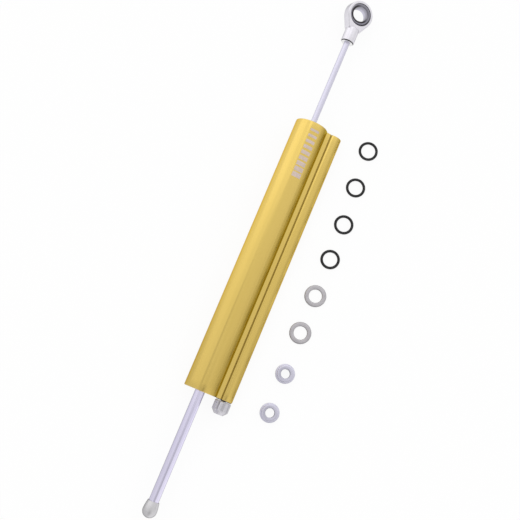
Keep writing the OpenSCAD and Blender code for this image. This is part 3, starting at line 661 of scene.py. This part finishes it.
def gold_anodised():
    gold = Finish("gold_anodised", metallic=1.0, specular_tint=GOLD_TINT)
    x, y, z = gold.place()
    u = y * math.cos(WEB_LEAN) - z * math.sin(WEB_LEAN)
    w = abs(y * math.sin(WEB_LEAN) + z * math.cos(WEB_LEAN))
    angle = gold.start.maths("ARCTAN2", w, u)
    on_tube = angle > math.radians(valley_angle - 0.2)
    # Painted shade: the thick tube is darkened beside the valley and the web's corner, and so is the thin
    # groove.
    corner_shade = angle.fall(*degrees(36, 54))
    valley_shade = (painted_flank_shade(x, angle) - 0.3 * corner_shade) * on_tube
    from_groove = length_of(u - GROOVE_U * MM, w - WEB_HALF * MM)
    painted_shade = valley_shade.at_least(from_groove.fall(*mm(0.3, 0.8)) * 0.8)
    lines = gold.grain((6, 1300, 1300), 3.0)
    drift = gold.grain((14, 45, 45))
    scuffs = gold.grain((220, 900, 900), 4.0, 0.6).ramp(0.62, 0.8)
    from_middle = abs(x - (BODY_TOP + BODY_BOTTOM) / 2 * MM)
    worn = from_middle.ramp(*mm(LENGTH / 2 - 0.7, LENGTH / 2 - 0.1)) * (0.35 + drift * 0.5)
    # Painted shade: the outer flank of the thin tube is darkened, less towards the lower end.
    outer_flank_shade = ((y - SIDE_AXIS[0]) / (SIDE_R * MM)).ramp(0.33, 0.78) * (0.43 - 0.17 * x.ramp(*mm(140, 190)))
    colour = mixed(lines, drift, 0.35, 0.25).blend(GOLD_DARK, GOLD_LIGHT)
    colour = painted_shade.blend(worn.blend(colour, GOLD_WORN), GOLD_SHADE)
    colour = (corner_shade * on_tube).blend(colour, GOLD_CORNER_SHADE)
    gold.feed(base_color=outer_flank_shade.blend(colour, GOLD_SHADE))
    gold.feed(roughness=0.16 + lines * 0.06 + drift * 0.04 + painted_shade * 0.12 + scuffs * 0.06)
    gold.bumps(lines, 2)
    return gold.done()


finishes = {"gold_anodised": gold_anodised()}
dress(gold_body, finishes["gold_anodised"])

# %% [markdown]
# Near the rod end the thick tube carries a plain scale in pale ink, a row of bars that grow broader.
# A picture on the material would do, but printed ink has a thickness that catches the light.
# So each mark is a thin closed slab that is bent round the tube: a small rectangle of
# radius and length, carried through a range of angles, with a cap at both ends.

# %% The printed scale
BAR_FIRST, BAR_PITCH, BAR_COUNT = 5.0, 3.6, 9
BAR_THIN, BAR_BROAD, BAR_ANGLES, BAR_STEPS = 1.5, 3.0, (0.0, 33.0), 18
INK_SUNK, INK_PROUD, INK_EDGE = 0.04, 0.03, 0.02


def bent_slab(x, wide):
    """A slab on the tube at X: radius and length from a rectangle, carried round in angle."""
    length = np.array([-wide, wide, wide, -wide]) / 2 + x
    radius = TUBE_R + np.array([-INK_SUNK, -INK_SUNK, INK_PROUD, INK_PROUD])
    section = eased(np.column_stack([radius, length]), INK_EDGE, 3)
    radius, length = closed(section).T[:, :, None]
    angle = np.radians(np.linspace(*BAR_ANGLES, BAR_STEPS))[None, :]
    skin = np.broadcast_arrays(length, radius * np.sin(angle), radius * np.cos(angle))
    skin = np.stack(skin, -1) * MM
    half = len(section) // 2
    caps = [np.stack([skin[:half, k], skin[half:-1, k][::-1]]) for k in (0, -1)]
    return [skin] + caps


bar_grids = []
for number, wide in enumerate(np.linspace(BAR_THIN, BAR_BROAD, BAR_COUNT)):
    bar_grids += bent_slab(BODY_TOP + BAR_FIRST + BAR_PITCH * number, wide)
printed_scale = make_piece("printed_scale", bar_grids, "barrel")


def printed_ink():
    ink = Finish("printed_ink", metallic=0.0)
    wear = ink.grain(700, 4.0, 0.65)
    tone = mixed(wear, ink.grain(160), 0.6, 0.3)
    ink.feed(base_color=tone.blend(shade((0.55, 0.44, 0.37)), shade((0.67, 0.54, 0.49))))
    ink.feed(roughness=0.4 + wear * 0.2)
    ink.bumps(wear, 10)
    return ink.done()


dress(printed_scale, printed_ink())

# %% [markdown]
# Most of the other metals are turned on a lathe, ground or plated, so they share one recipe:
# a colour with a slow drift, fine rings at the pitch of the tool, and a roughness that follows.
# Each could be its own material by hand, but one function with a short table keeps them alike.
# The rings run along a distance that each piece chooses: along an axis and out from it,
# or along the profile that a lathe piece carries.

# %% Turned metals
def turned(name, colour, roughness, pitch, depth, distance, edge_tint=0.6):
    """Turned metal, with the pitch and the depth of its rings in microns."""
    metal = Finish(name, metallic=1.0, specular_tint=grey(edge_tint))
    rings = metal.rings(distance(metal), pitch)
    drift = metal.grain(90)
    metal.feed(base_color=mixed(rings, drift).blend(shade(colour, 0.88), shade(colour, 1.05)))
    metal.feed(roughness=roughness * 0.8 + rings * (roughness * 0.2) + drift * (roughness * 0.25))
    metal.bumps(rings, depth)
    return metal.done()


def main_axis(metal):
    return metal.from_axis((0, 0)) + metal.place()[0]


def side_axis(metal):
    return metal.from_axis(SIDE_AXIS) + metal.place()[0]


SILVER = (0.82, 0.8, 0.94)
turned_metals = {
    "polished_steel": (SILVER, 0.13, 80, 0.3, main_axis),
    "spring_steel": ((0.45, 0.45, 0.47), 0.3, 200, 1, side_axis),
    "satin_aluminium": ((0.6, 0.58, 0.62), 0.35, 150, 2, main_axis),
    "dark_steel": ((0.05, 0.045, 0.045), 0.4, 200, 1, side_axis),
    "bronze": ((0.62, 0.43, 0.22), 0.3, 200, 1, main_axis),
}
for name, recipe in turned_metals.items():
    finishes[name] = turned(name, *recipe)

# %% [markdown]
# The rod end is a forged eye on a short shank. A disc joined to a bar would have a sharp seam.
# Its outline is a circle that runs by two tangents into a straight neck, so in polar form
# the radius is one formula of the angle. The cross-section at each angle is a closed loop from the
# inner lip over the top, round the outside and back, with a recess inside that holds the race.
# Its edges are eased like a forging's. The shank is a lathe part with a narrow stepped end.

# %% The rod end's eye and shank
EYE_TURN = math.radians(23)
EYE_NORMAL = np.array([0, math.sin(EYE_TURN), math.cos(EYE_TURN)])
EYE_ACROSS = np.array([0, math.cos(EYE_TURN), -math.sin(EYE_TURN)])
EYE_R, EYE_HALF, LIP_R, SEAT_R, SEAT_HALF = 8.5, 3.0, 6.95, 7.65, 2.55
NECK_END, SHANK_R, SHANK_START, SHANK_END = 10.5, 4.1, 9.4, 19.1
ROD_HOLE_R, ROD_HOLE_END = 1.78, 10.8
STEP_IN, STEP_START, STEP_STOP, CHAMFER, CHAMFER_IN = 0.3, 0.75, 0.65, 0.3, 0.55
EYE_STEPS, MOST_LEAN, LEAST_COSINE = 241, 1.2, 0.3
ALONG_ROD, BALL_CENTRE = (1.0, 0, 0), (0, 0, 0)

angle = np.linspace(-np.pi, np.pi, EYE_STEPS)
tangent = math.atan2(SHANK_R, NECK_END) + math.acos(EYE_R / math.hypot(NECK_END, SHANK_R))
lean = np.clip(np.abs(angle) - tangent, -MOST_LEAN, 0)
neck = np.minimum(EYE_R / np.cos(lean), NECK_END / np.maximum(np.cos(angle), LEAST_COSINE))
reach = np.where(np.abs(angle) < tangent, neck, EYE_R)

lip, seat = np.full_like(angle, LIP_R), np.full_like(angle, SEAT_R)
section = [(lip, EYE_HALF), (reach, EYE_HALF), (reach, -EYE_HALF), (lip, -EYE_HALF)]
section += [(lip, -SEAT_HALF), (seat, -SEAT_HALF), (seat, SEAT_HALF), (lip, SEAT_HALF)]
section = np.stack([np.stack(np.broadcast_arrays(*corner), -1) for corner in section])
section = closed(eased(section, [0.25, 0.8, 0.8, 0.25, 0, 0, 0, 0], 8))
radius, height = section[..., :1] * MM, section[..., 1:] * MM
spoke = np.cos(angle)[:, None] * np.array(ALONG_ROD) + np.sin(angle)[:, None] * EYE_ACROSS
eye_grid = radius * spoke + height * EYE_NORMAL
rod_eye = make_piece("rod_eye", [eye_grid], "rod", ["rod_end_housing"])

step_r = SHANK_R - STEP_IN
shank_line = [(0, SHANK_START), (SHANK_R, SHANK_START), (SHANK_R, SHANK_END - STEP_START)]
shank_line += [(step_r, SHANK_END - STEP_STOP), (step_r, SHANK_END - CHAMFER)]
shank_line += [(SHANK_R - CHAMFER_IN, SHANK_END), (ROD_HOLE_R, SHANK_END)]
shank_line += [(ROD_HOLE_R, ROD_HOLE_END), (0, ROD_HOLE_END)]
shank_line = eased(shank_line, [0, 0.5, 0.05, 0.05, 0.05, 0.05, 0.1, 0.1, 0])
shank_grid = turn(shank_line, BALL_CENTRE, ALONG_ROD)
rod_shank = make_piece("rod_shank", [shank_grid], "rod")

# %% [markdown]
# Inside the eye sits a race, and in the race a ball with a bore, so that the damper can swivel.
# Both could be cut from spheres, but cutting leaves uneven faces. The race's inner wall and the
# ball are parts of spheres, so their profiles are arcs, and a lathe turns them cleanly.

# %% The race and the ball
RACE_R, RACE_HALF, RACE_BALL_R, RACE_STEPS = 7.6, 2.5, 7.1, 25
BALL_R, BALL_HALF, BALL_BORE, BALL_EDGE, BALL_STEPS = 7.05, 3.3, 4.5, 0.3, 41
BALL_TURN = math.radians(14)
BALL_AXIS = np.array([0, math.sin(BALL_TURN), math.cos(BALL_TURN)])


def sphere_part(radius, half, steps):
    """The profile of a sphere between two heights: radius sqrt(R^2 - h^2) at height h."""
    rise = np.linspace(half, -half, steps)
    return np.column_stack([np.sqrt(radius**2 - rise**2), rise])


race_hollow = sphere_part(RACE_BALL_R, RACE_HALF, RACE_STEPS)
race_line = np.vstack([race_hollow, [(RACE_R, -RACE_HALF), (RACE_R, RACE_HALF)]])
race_grid = turn(closed(race_line), BALL_CENTRE, EYE_NORMAL)
race = make_piece("bearing_race", [race_grid], "race", ["ball_race"])

bore_mouth, bore_start = BALL_BORE + BALL_EDGE, BALL_HALF - BALL_EDGE
ball_bore = [(bore_mouth, -BALL_HALF), (BALL_BORE, -bore_start)]
ball_bore += [(BALL_BORE, bore_start), (bore_mouth, BALL_HALF)]
ball_line = np.vstack([sphere_part(BALL_R, BALL_HALF, BALL_STEPS), ball_bore])
ball_grid = turn(closed(ball_line), BALL_CENTRE, BALL_AXIS)
ball = make_piece("bearing_ball", [ball_grid], "ball", ["rod_end_ball"])

# %% [markdown]
# The eye and the shank are plated and bright. A forging's skin is slightly uneven, so its bumps are
# broad and shallow. The stepped end of the shank is painted near black and the lip by the race a
# touch darker, as painted shade, and the end face is painted white, as a painted highlight.
# The ball and the race are chromed. The race and the ball's round band are painted darker on the side
# that faces the side tube, and the ball's end faces are painted darker, least on that side, as painted
# shade; the ball's bore is painted lighter towards its lower end, as painted light. One plain metal
# would miss all of that, so each mask is worked out from the distance to the bore, to the centre or to the
# end.

# %% Finishes of the rod end
PLATED = (0.81, 0.79, 0.845)
# Painted shade: the first two colours on the next line darken the shank's stepped end and the ball.
SHANK_END_SHADE, BALL_SHADE, RACE_BRIGHT = shade((0.05, 0.048, 0.05)), shade((0.06, 0.055, 0.06)), shade((1, 0.98, 1))


def along_axis(axis, y, z):
    """How far a point lies along an axis that is square to X."""
    return y * float(axis[1]) + z * float(axis[2])


def plated_steel():
    plate = Finish("plated_steel", metallic=1.0, specular_tint=grey(0.55))
    x, y, z = plate.place()
    skin = plate.grain(420, 3.0)
    radius = plate.from_axis((0, 0))
    # Painted shade: the shank's stepped end is painted near black, and the lip by the race a touch darker.
    rim = x.window(mm(18.38, 18.48), mm(18.95, 19.05)) * (radius > 3 * MM)
    from_hole = length_of(x, along_axis(EYE_ACROSS, y, z))
    by_lip = from_hole.fall(*mm(LIP_R, 7.2)) * (abs(along_axis(EYE_NORMAL, y, z)) > 2.2 * MM)
    painted_shade = rim.at_least(by_lip * 0.06)
    tone = mixed(skin, plate.grain(120), 0.4, 0.25)
    colour = painted_shade.blend(tone.blend(shade(PLATED, 0.93), shade(PLATED, 1.04)), SHANK_END_SHADE)
    # Painted highlight: the shank's end face is painted white.
    end_face = x.ramp(*mm(18.98, 19.06)) * (radius > 1.7 * MM)
    plate.feed(base_color=end_face.blend(colour, WHITE))
    plate.feed(roughness=0.26 + skin * 0.1 + painted_shade * 0.2)
    plate.bumps(skin, 20)
    return plate.done()


def bearing_chrome():
    chrome = Finish("bearing_chrome", metallic=1.0, specular_tint=grey(0.6))
    x, y, z = chrome.place()
    rise = along_axis(BALL_AXIS, y, z)
    height = abs(rise)
    from_centre = length_of(x, y, z)
    from_bore = (from_centre * from_centre - height * height) ** 0.5
    to_side_tube = (y - x) / from_centre
    smear = chrome.grain(900, 3.0)
    marks = chrome.rings(chrome.along(), 100, 2.0)
    # Painted shade: the ball's end faces are darker, least on the side that faces the side tube.
    end_ring = height.ramp(*mm(2.95, 3.15)) * from_bore.fall(*mm(5.5, 5.9))
    end_ring = end_ring * (1 - 0.65 * to_side_tube.ramp(0.1, 0.9))
    # Painted shade: the ball's round band is darker, most on the side that faces the side tube.
    side_shade = height.fall(*mm(2.6, 3.1)) * (from_centre > 6.8 * MM)
    side_shade = side_shade * (0.1 + to_side_tube.ramp(-0.3, 0.9) * (0.5 + smear * 0.2))
    painted_shade = end_ring.at_least(side_shade)
    # Painted light: the bore's wall is lighter, most towards its lower end.
    in_bore = from_bore.fall(*mm(4.55, 4.7)) * (0.5 - rise.ramp(*mm(-2.8, 3)) * 0.4)
    bright = 0.3 + marks.ramp(0.2, 0.8) * 0.08 + in_bore
    chrome.feed(base_color=painted_shade.blend(bright.blend(BLACK, shade(SILVER)), BALL_SHADE))
    chrome.feed(roughness=0.12 + smear * 0.06 + painted_shade * 0.25)
    chrome.bumps(marks, 0.5)
    return chrome.done()


def race_steel():
    steel = Finish("race_steel", metallic=1.0, specular_tint=grey(0.6))
    x, y, z = steel.place()
    smear = steel.grain(700, 3.0)
    marks = steel.rings(steel.along(), 100)
    # Painted shade: the race is darker on the side that faces the side tube.
    shaded_side = ((y - x) / length_of(x, y, z)).ramp(-0.9, 0.5)
    level = 0.46 + marks * 0.08 - shaded_side * (0.22 + smear * 0.12)
    steel.feed(base_color=level.blend(BLACK, RACE_BRIGHT))
    steel.feed(roughness=0.25 + marks * 0.1 + shaded_side * 0.1)
    steel.bumps(marks, 1)
    return steel.done()


finishes["plated_steel"] = plated_steel()
for piece in (rod_eye, rod_shank):
    dress(piece, finishes["plated_steel"])
dress(ball, bearing_chrome())
dress(race, race_steel())

# %% [markdown]
# The bulb on the thick end of the rod is a turned cap. A stretched ball would come close, but its
# widest place would lie in the middle. From its mouth it swells like a quarter of
# a sine wave and closes in half an ellipse, so the profile has no corner but the rolled mouth.

# %% The end bulb
CAP_PLACE = (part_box("end_cap")[0][0], 0, 0)
CAP_LENGTH, CAP_WIDE_AT, CAP_R, CAP_MOUTH_R, CAP_STEPS = 9.7, 5.6, 4.2, 3.5, 40
CAP_HOLE_R, CAP_HOLE_START, CAP_HOLE_END = 2.98, 0.3, 6.3
ROLL_R, ROLL_IN, ROLL_TOP = 0.25, 0.2, 0.35

part = np.linspace(0, 1, CAP_STEPS)
quarter = part * np.pi / 2
dome_height = CAP_LENGTH - (CAP_LENGTH - CAP_WIDE_AT) * (1 - np.cos(quarter))
dome = np.column_stack([CAP_R * np.sin(quarter), dome_height])
swell_radius = CAP_MOUTH_R + (CAP_R - CAP_MOUTH_R) * np.cos(quarter)
swell = np.column_stack([swell_radius, CAP_WIDE_AT * (1 - part) + ROLL_TOP * part])
rolled = arc((CAP_MOUTH_R - ROLL_IN, ROLL_R), ROLL_R, 20, -150, 12)
cap_hole = [(CAP_HOLE_R, CAP_HOLE_START), (CAP_HOLE_R, CAP_HOLE_END), (0, CAP_HOLE_END)]
bulb_line = np.vstack([dome, swell[1:], rolled, cap_hole])
bulb_grid = turn(bulb_line, CAP_PLACE, ALONG_ROD)
end_bulb = make_piece("end_bulb", [bulb_grid], "rod", ["end_cap"])
dress(end_bulb, turned("bulb_aluminium", (0.72, 0.71, 0.73), 0.34, 120, 1, Finish.along, 0.3))

# %% [markdown]
# Four loose rubber rings lie beside the body. Blender's torus would be too perfect: a real ring is
# moulded in two halves, so a fine ridge of flash runs round the outside and the inside where the
# halves met. So the section is a circle whose radius swells a little at those two places.

# %% The rubber rings
RUBBER_MID, RUBBER_R, FLASH, FLASH_WIDE, RUBBER_STEPS = 5.1, 0.8, 0.03, 0.08, 49


def on_table(places, profile):
    """A lathe piece that stands on the table at each X and Y."""
    return [turn(profile, (place[0], place[1], TABLE), (0, 0, 1)) for place in places]


openings = [np.array(row["box_m"]) for row in record["physics"]["openings"]]
ring_places = [box.mean(axis=0) for box in openings]
round_by = np.linspace(0, 2 * np.pi, RUBBER_STEPS)
swollen = RUBBER_R + FLASH * np.exp(-((np.sin(round_by) / FLASH_WIDE) ** 2))
ring_height = RUBBER_R + RUBBER_R * np.sin(round_by)
ring_line = np.column_stack([RUBBER_MID + swollen * np.cos(round_by), ring_height])
ring_line[-1] = ring_line[0]
ring_grids = on_table(ring_places, ring_line)
rubber_rings = make_piece("rubber_rings", ring_grids, "o_rings", ["o_rings"], 80)

# %% [markdown]
# Rubber is nearly black, and it shows as rubber by its dull sheen and a skin that is not smooth.
# One black would look painted, so a paler bloom drifts over it. The guide bushes inside are
# moulded plastic and take the same recipe in another colour.

# %% Rubber and plastic
def moulded(name, colour, roughness):
    """A moulded skin with fine bumps and a paler bloom."""
    skin = Finish(name, metallic=0.0)
    fine = skin.grain(2500, 3.0)
    bloomed = shade([part * 1.6 + 0.004 for part in colour])
    skin.feed(base_color=skin.grain(120).ramp(0.3, 0.8).blend(shade(colour), bloomed))
    skin.feed(roughness=roughness + fine * 0.15)
    skin.bumps(fine, 10)
    return skin.done()


finishes["black_rubber"] = moulded("black_rubber", (0.006, 0.006, 0.007), 0.6)
finishes["bearing_plastic"] = moulded("bearing_plastic", (0.05, 0.25, 0.18), 0.4)
dress(rubber_rings, finishes["black_rubber"])

# %% [markdown]
# Two flat washers and two stepped spacers lie below the rubber rings. The solids have sharp edges,
# and a real washer has been stamped and tumbled, so its edges are rolled, most on top.
# The spacers are turned from bar, with a flange at the table and a spigot above it.
# Both are closed profiles on a lathe, placed where the record says that their holes are.

# %% The washers and the spacers
WASHER_R, WASHER_HOLE_R, WASHER_HIGH = 6.55, 4.0, 1.6
SPACER_R, SPIGOT_R, SPACER_HOLE_R, FLANGE_HIGH, SPACER_HIGH = 5.8, 4.95, 2.75, 1.6, 4.4


def hole_places(kind):
    """Where the record has the holes of this kind of ring."""
    return [row["pos_m"] for row in record["mounts"] if row["name"].startswith(kind)]


washer_line = [(WASHER_HOLE_R, 0), (WASHER_R, 0)]
washer_line += [(WASHER_R, WASHER_HIGH), (WASHER_HOLE_R, WASHER_HIGH)]
washer_line = closed(eased(washer_line, [0.15, 0.3, 0.75, 0.6], 8))
washer_grids = on_table(hole_places("washer"), washer_line)
washers = make_piece("flat_washers", washer_grids, "washers", ["washers"])

spacer_line = [(SPACER_HOLE_R, 0), (SPACER_R, 0), (SPACER_R, FLANGE_HIGH)]
spacer_line += [(SPIGOT_R, FLANGE_HIGH), (SPIGOT_R, SPACER_HIGH), (SPACER_HOLE_R, SPACER_HIGH)]
spacer_line = closed(eased(spacer_line, [0.2, 0.3, 0.35, 0.1, 0.45, 0.3], 8))
spacer_grids = on_table(hole_places("spacer"), spacer_line)
spacers = make_piece("stepped_spacers", spacer_grids, "spacers", ["spacers"])

# %% [markdown]
# Tumbling leaves the washers dull and dented, and all but their top face is painted darker, as painted
# shade. The spacers keep the rings of the tool; their outer wall is painted lighter, as painted light,
# and their bore is painted darker, most on the left, and so is the top face beside it on the left, as
# painted shade. Both follow the distance along the profile that the lathe stored on the mesh,
# because it tells a face from a wall and a bore at once.

# %% Finishes of the washers and the spacers
WASHER_GREY, WASHER_FACE, FACE_SOFT = (0.6, 0.58, 0.605), (3.9, 6.6), 0.7
SPACER_PALE, SPACER_WALL, WALL_SOFT, SPACER_BORE = (0.75, 0.735, 0.86), (4.8, 8.0), 0.6, 9.5


def stretch(distance, ends, soft):
    """1 on a stretch of the profile, with soft ends inside it."""
    return distance.window(mm(ends[0], ends[0] + soft), mm(ends[1] - soft, ends[1]))


def tumbled_steel():
    """Dull steel with painted shade everywhere but on its top face."""
    metal = Finish("tumbled_steel", metallic=1.0, specular_tint=grey(0.4))
    dents = metal.grain(1500, 3.0)
    scratches = metal.grain((260, 3200, 2000)).ramp(0.55, 0.75)
    tone = mixed(dents, metal.grain(260, 3.0), 0.4, 0.25)
    clean = tone.blend(shade(WASHER_GREY, 0.85), shade(WASHER_GREY, 1.06))
    # Painted shade: all but the top face is darker.
    on_face = stretch(metal.along(), WASHER_FACE, FACE_SOFT)
    metal.feed(base_color=on_face.blend(shade(WASHER_GREY, 0.72), clean))
    metal.feed(roughness=0.36 + dents * 0.12 - scratches * 0.1)
    metal.bumps(dents, 12)
    return metal.done()


def spacer_aluminium():
    """Turned bar whose outer wall is painted lighter, as painted light, and whose bore is painted darker,
    most on the left, as painted shade.
    """
    metal = Finish("spacer_aluminium", metallic=1.0, specular_tint=grey(0.5))
    distance = metal.along()
    rings = metal.rings(distance, 140)
    middle_y = hole_places("spacer")[0][1]
    # Painted shade: the bore is darker, most on the left, and so is the top face beside it on the left.
    left = metal.place()[1].fall(middle_y - 3 * MM, middle_y + 3 * MM)
    in_bore = distance.ramp(*mm(SPACER_BORE, SPACER_BORE + 0.8)) * (0.45 + left * 0.55)
    by_bore = distance.ramp(*mm(SPACER_BORE - 1.2, SPACER_BORE)) * left * 0.4
    bore_shade = in_bore.at_least(by_bore)
    clean = mixed(rings, metal.grain(300)).blend(shade(SPACER_PALE, 0.92), shade(SPACER_PALE, 1.04))
    # Painted light: the spigot's outer wall is lighter.
    on_wall = stretch(distance, SPACER_WALL, WALL_SOFT)
    colour = on_wall.blend(clean, shade(SPACER_PALE, 1.16))
    metal.feed(base_color=bore_shade.blend(colour, shade(SPACER_PALE, 0.55)))
    metal.feed(roughness=0.24 + rings * 0.06 + bore_shade * 0.15)
    metal.bumps(rings, 2)
    return metal.done()


dress(washers, tumbled_steel())
dress(spacers, spacer_aluminium())

# %% [markdown]
# The knob is turned and then fluted with a round cutter, and its solid has that shape already.
# Fingers polish its ridges, and grime stays in the flutes. A map painted by hand would do, but the
# The flutes are painted darker, as painted shade, and are rougher than the ridges. A map painted by hand
# would do, but the distance from the knob's own axis tells a ridge from a flute, so the colour follows
# that.

# %% The knob's finish
KNOB_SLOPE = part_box("adjuster_knob")[1][0] / MM - 2.4
# Painted shade: the last colour on the next line darkens the flutes.
KNOB_DARK, KNOB_LIGHT, FLUTE_SHADE = (0.66, 0.645, 0.69), (0.76, 0.745, 0.79), (0.3, 0.295, 0.31)


def knob_aluminium():
    metal = Finish("knob_aluminium", metallic=1.0, specular_tint=grey(0.4))
    x = metal.place()[0]
    radius = metal.from_axis(SIDE_AXIS)
    on_wall = x.fall(*mm(KNOB_SLOPE - 0.2, KNOB_SLOPE + 0.1))
    # Painted shade: the flutes are darker.
    flute_shade = radius.fall(*mm(4.45, 4.85)) * on_wall
    rings = metal.rings(x + radius, 150)
    clean = mixed(rings, metal.grain(300)).blend(shade(KNOB_DARK), shade(KNOB_LIGHT))
    metal.feed(base_color=(flute_shade * 0.32).blend(clean, shade(FLUTE_SHADE)))
    metal.feed(roughness=0.3 + rings * 0.08 + flute_shade * 0.15)
    metal.bumps(rings, 2)
    return metal.done()


own_finishes = {"adjuster_knob": knob_aluminium()}

# %% [markdown]
# The rod is hard chrome, ground thicker on the bulb's side. There it is polished like a mirror with
# a violet cast, and the thin half keeps a satin grind. It is one solid, so two materials would need
# a cut through it. Instead the finish changes along X, inside the body where the step is hidden.

# %% The rod's finish
ROD_STEP, VIOLET = 170, (0.79, 0.755, 0.97)


def rod_chrome():
    chrome = Finish("rod_chrome", metallic=1.0, specular_tint=grey(0.45))
    x = chrome.place()[0]
    thin = x.fall(*mm(ROD_STEP - 1, ROD_STEP + 1))
    lay = chrome.rings(x, 90)
    strokes = chrome.grain((40, 1800, 1800), 3.0)
    drift = chrome.grain(60)
    tone = (lay * 0.4 + strokes * 0.3 + drift * 0.3).ramp(0.25, 0.75)
    polished = tone.blend(shade(VIOLET, 1.01), shade(VIOLET, 1.1))
    satin = tone.blend(shade(SILVER, 0.85), shade(SILVER, 0.95))
    chrome.feed(base_color=thin.blend(polished, satin))
    chrome.feed(roughness=0.11 + lay * 0.03 + strokes * 0.04 + thin * 0.26)
    chrome.bumps(lay, 0.3)
    return chrome.done()


own_finishes["rod"] = rod_chrome()

# %% [markdown]
# The solids that no new piece stands for stay as they are, and only get a finish. The rod and the
# knob have their own. Each other solid names its finish in the record, so one loop dresses them all.

# %% Dress the solids that stay
kept_rows = [row for row in record["subparts"] if row["node"] not in replaced_nodes]
for row in kept_rows:
    for slot in nodes[row["node"]].material_slots:
        slot.material = own_finishes.get(row["node"], finishes[row["material_slot"]])
print("dressed:", len(kept_rows), "solids")

# %% [markdown]
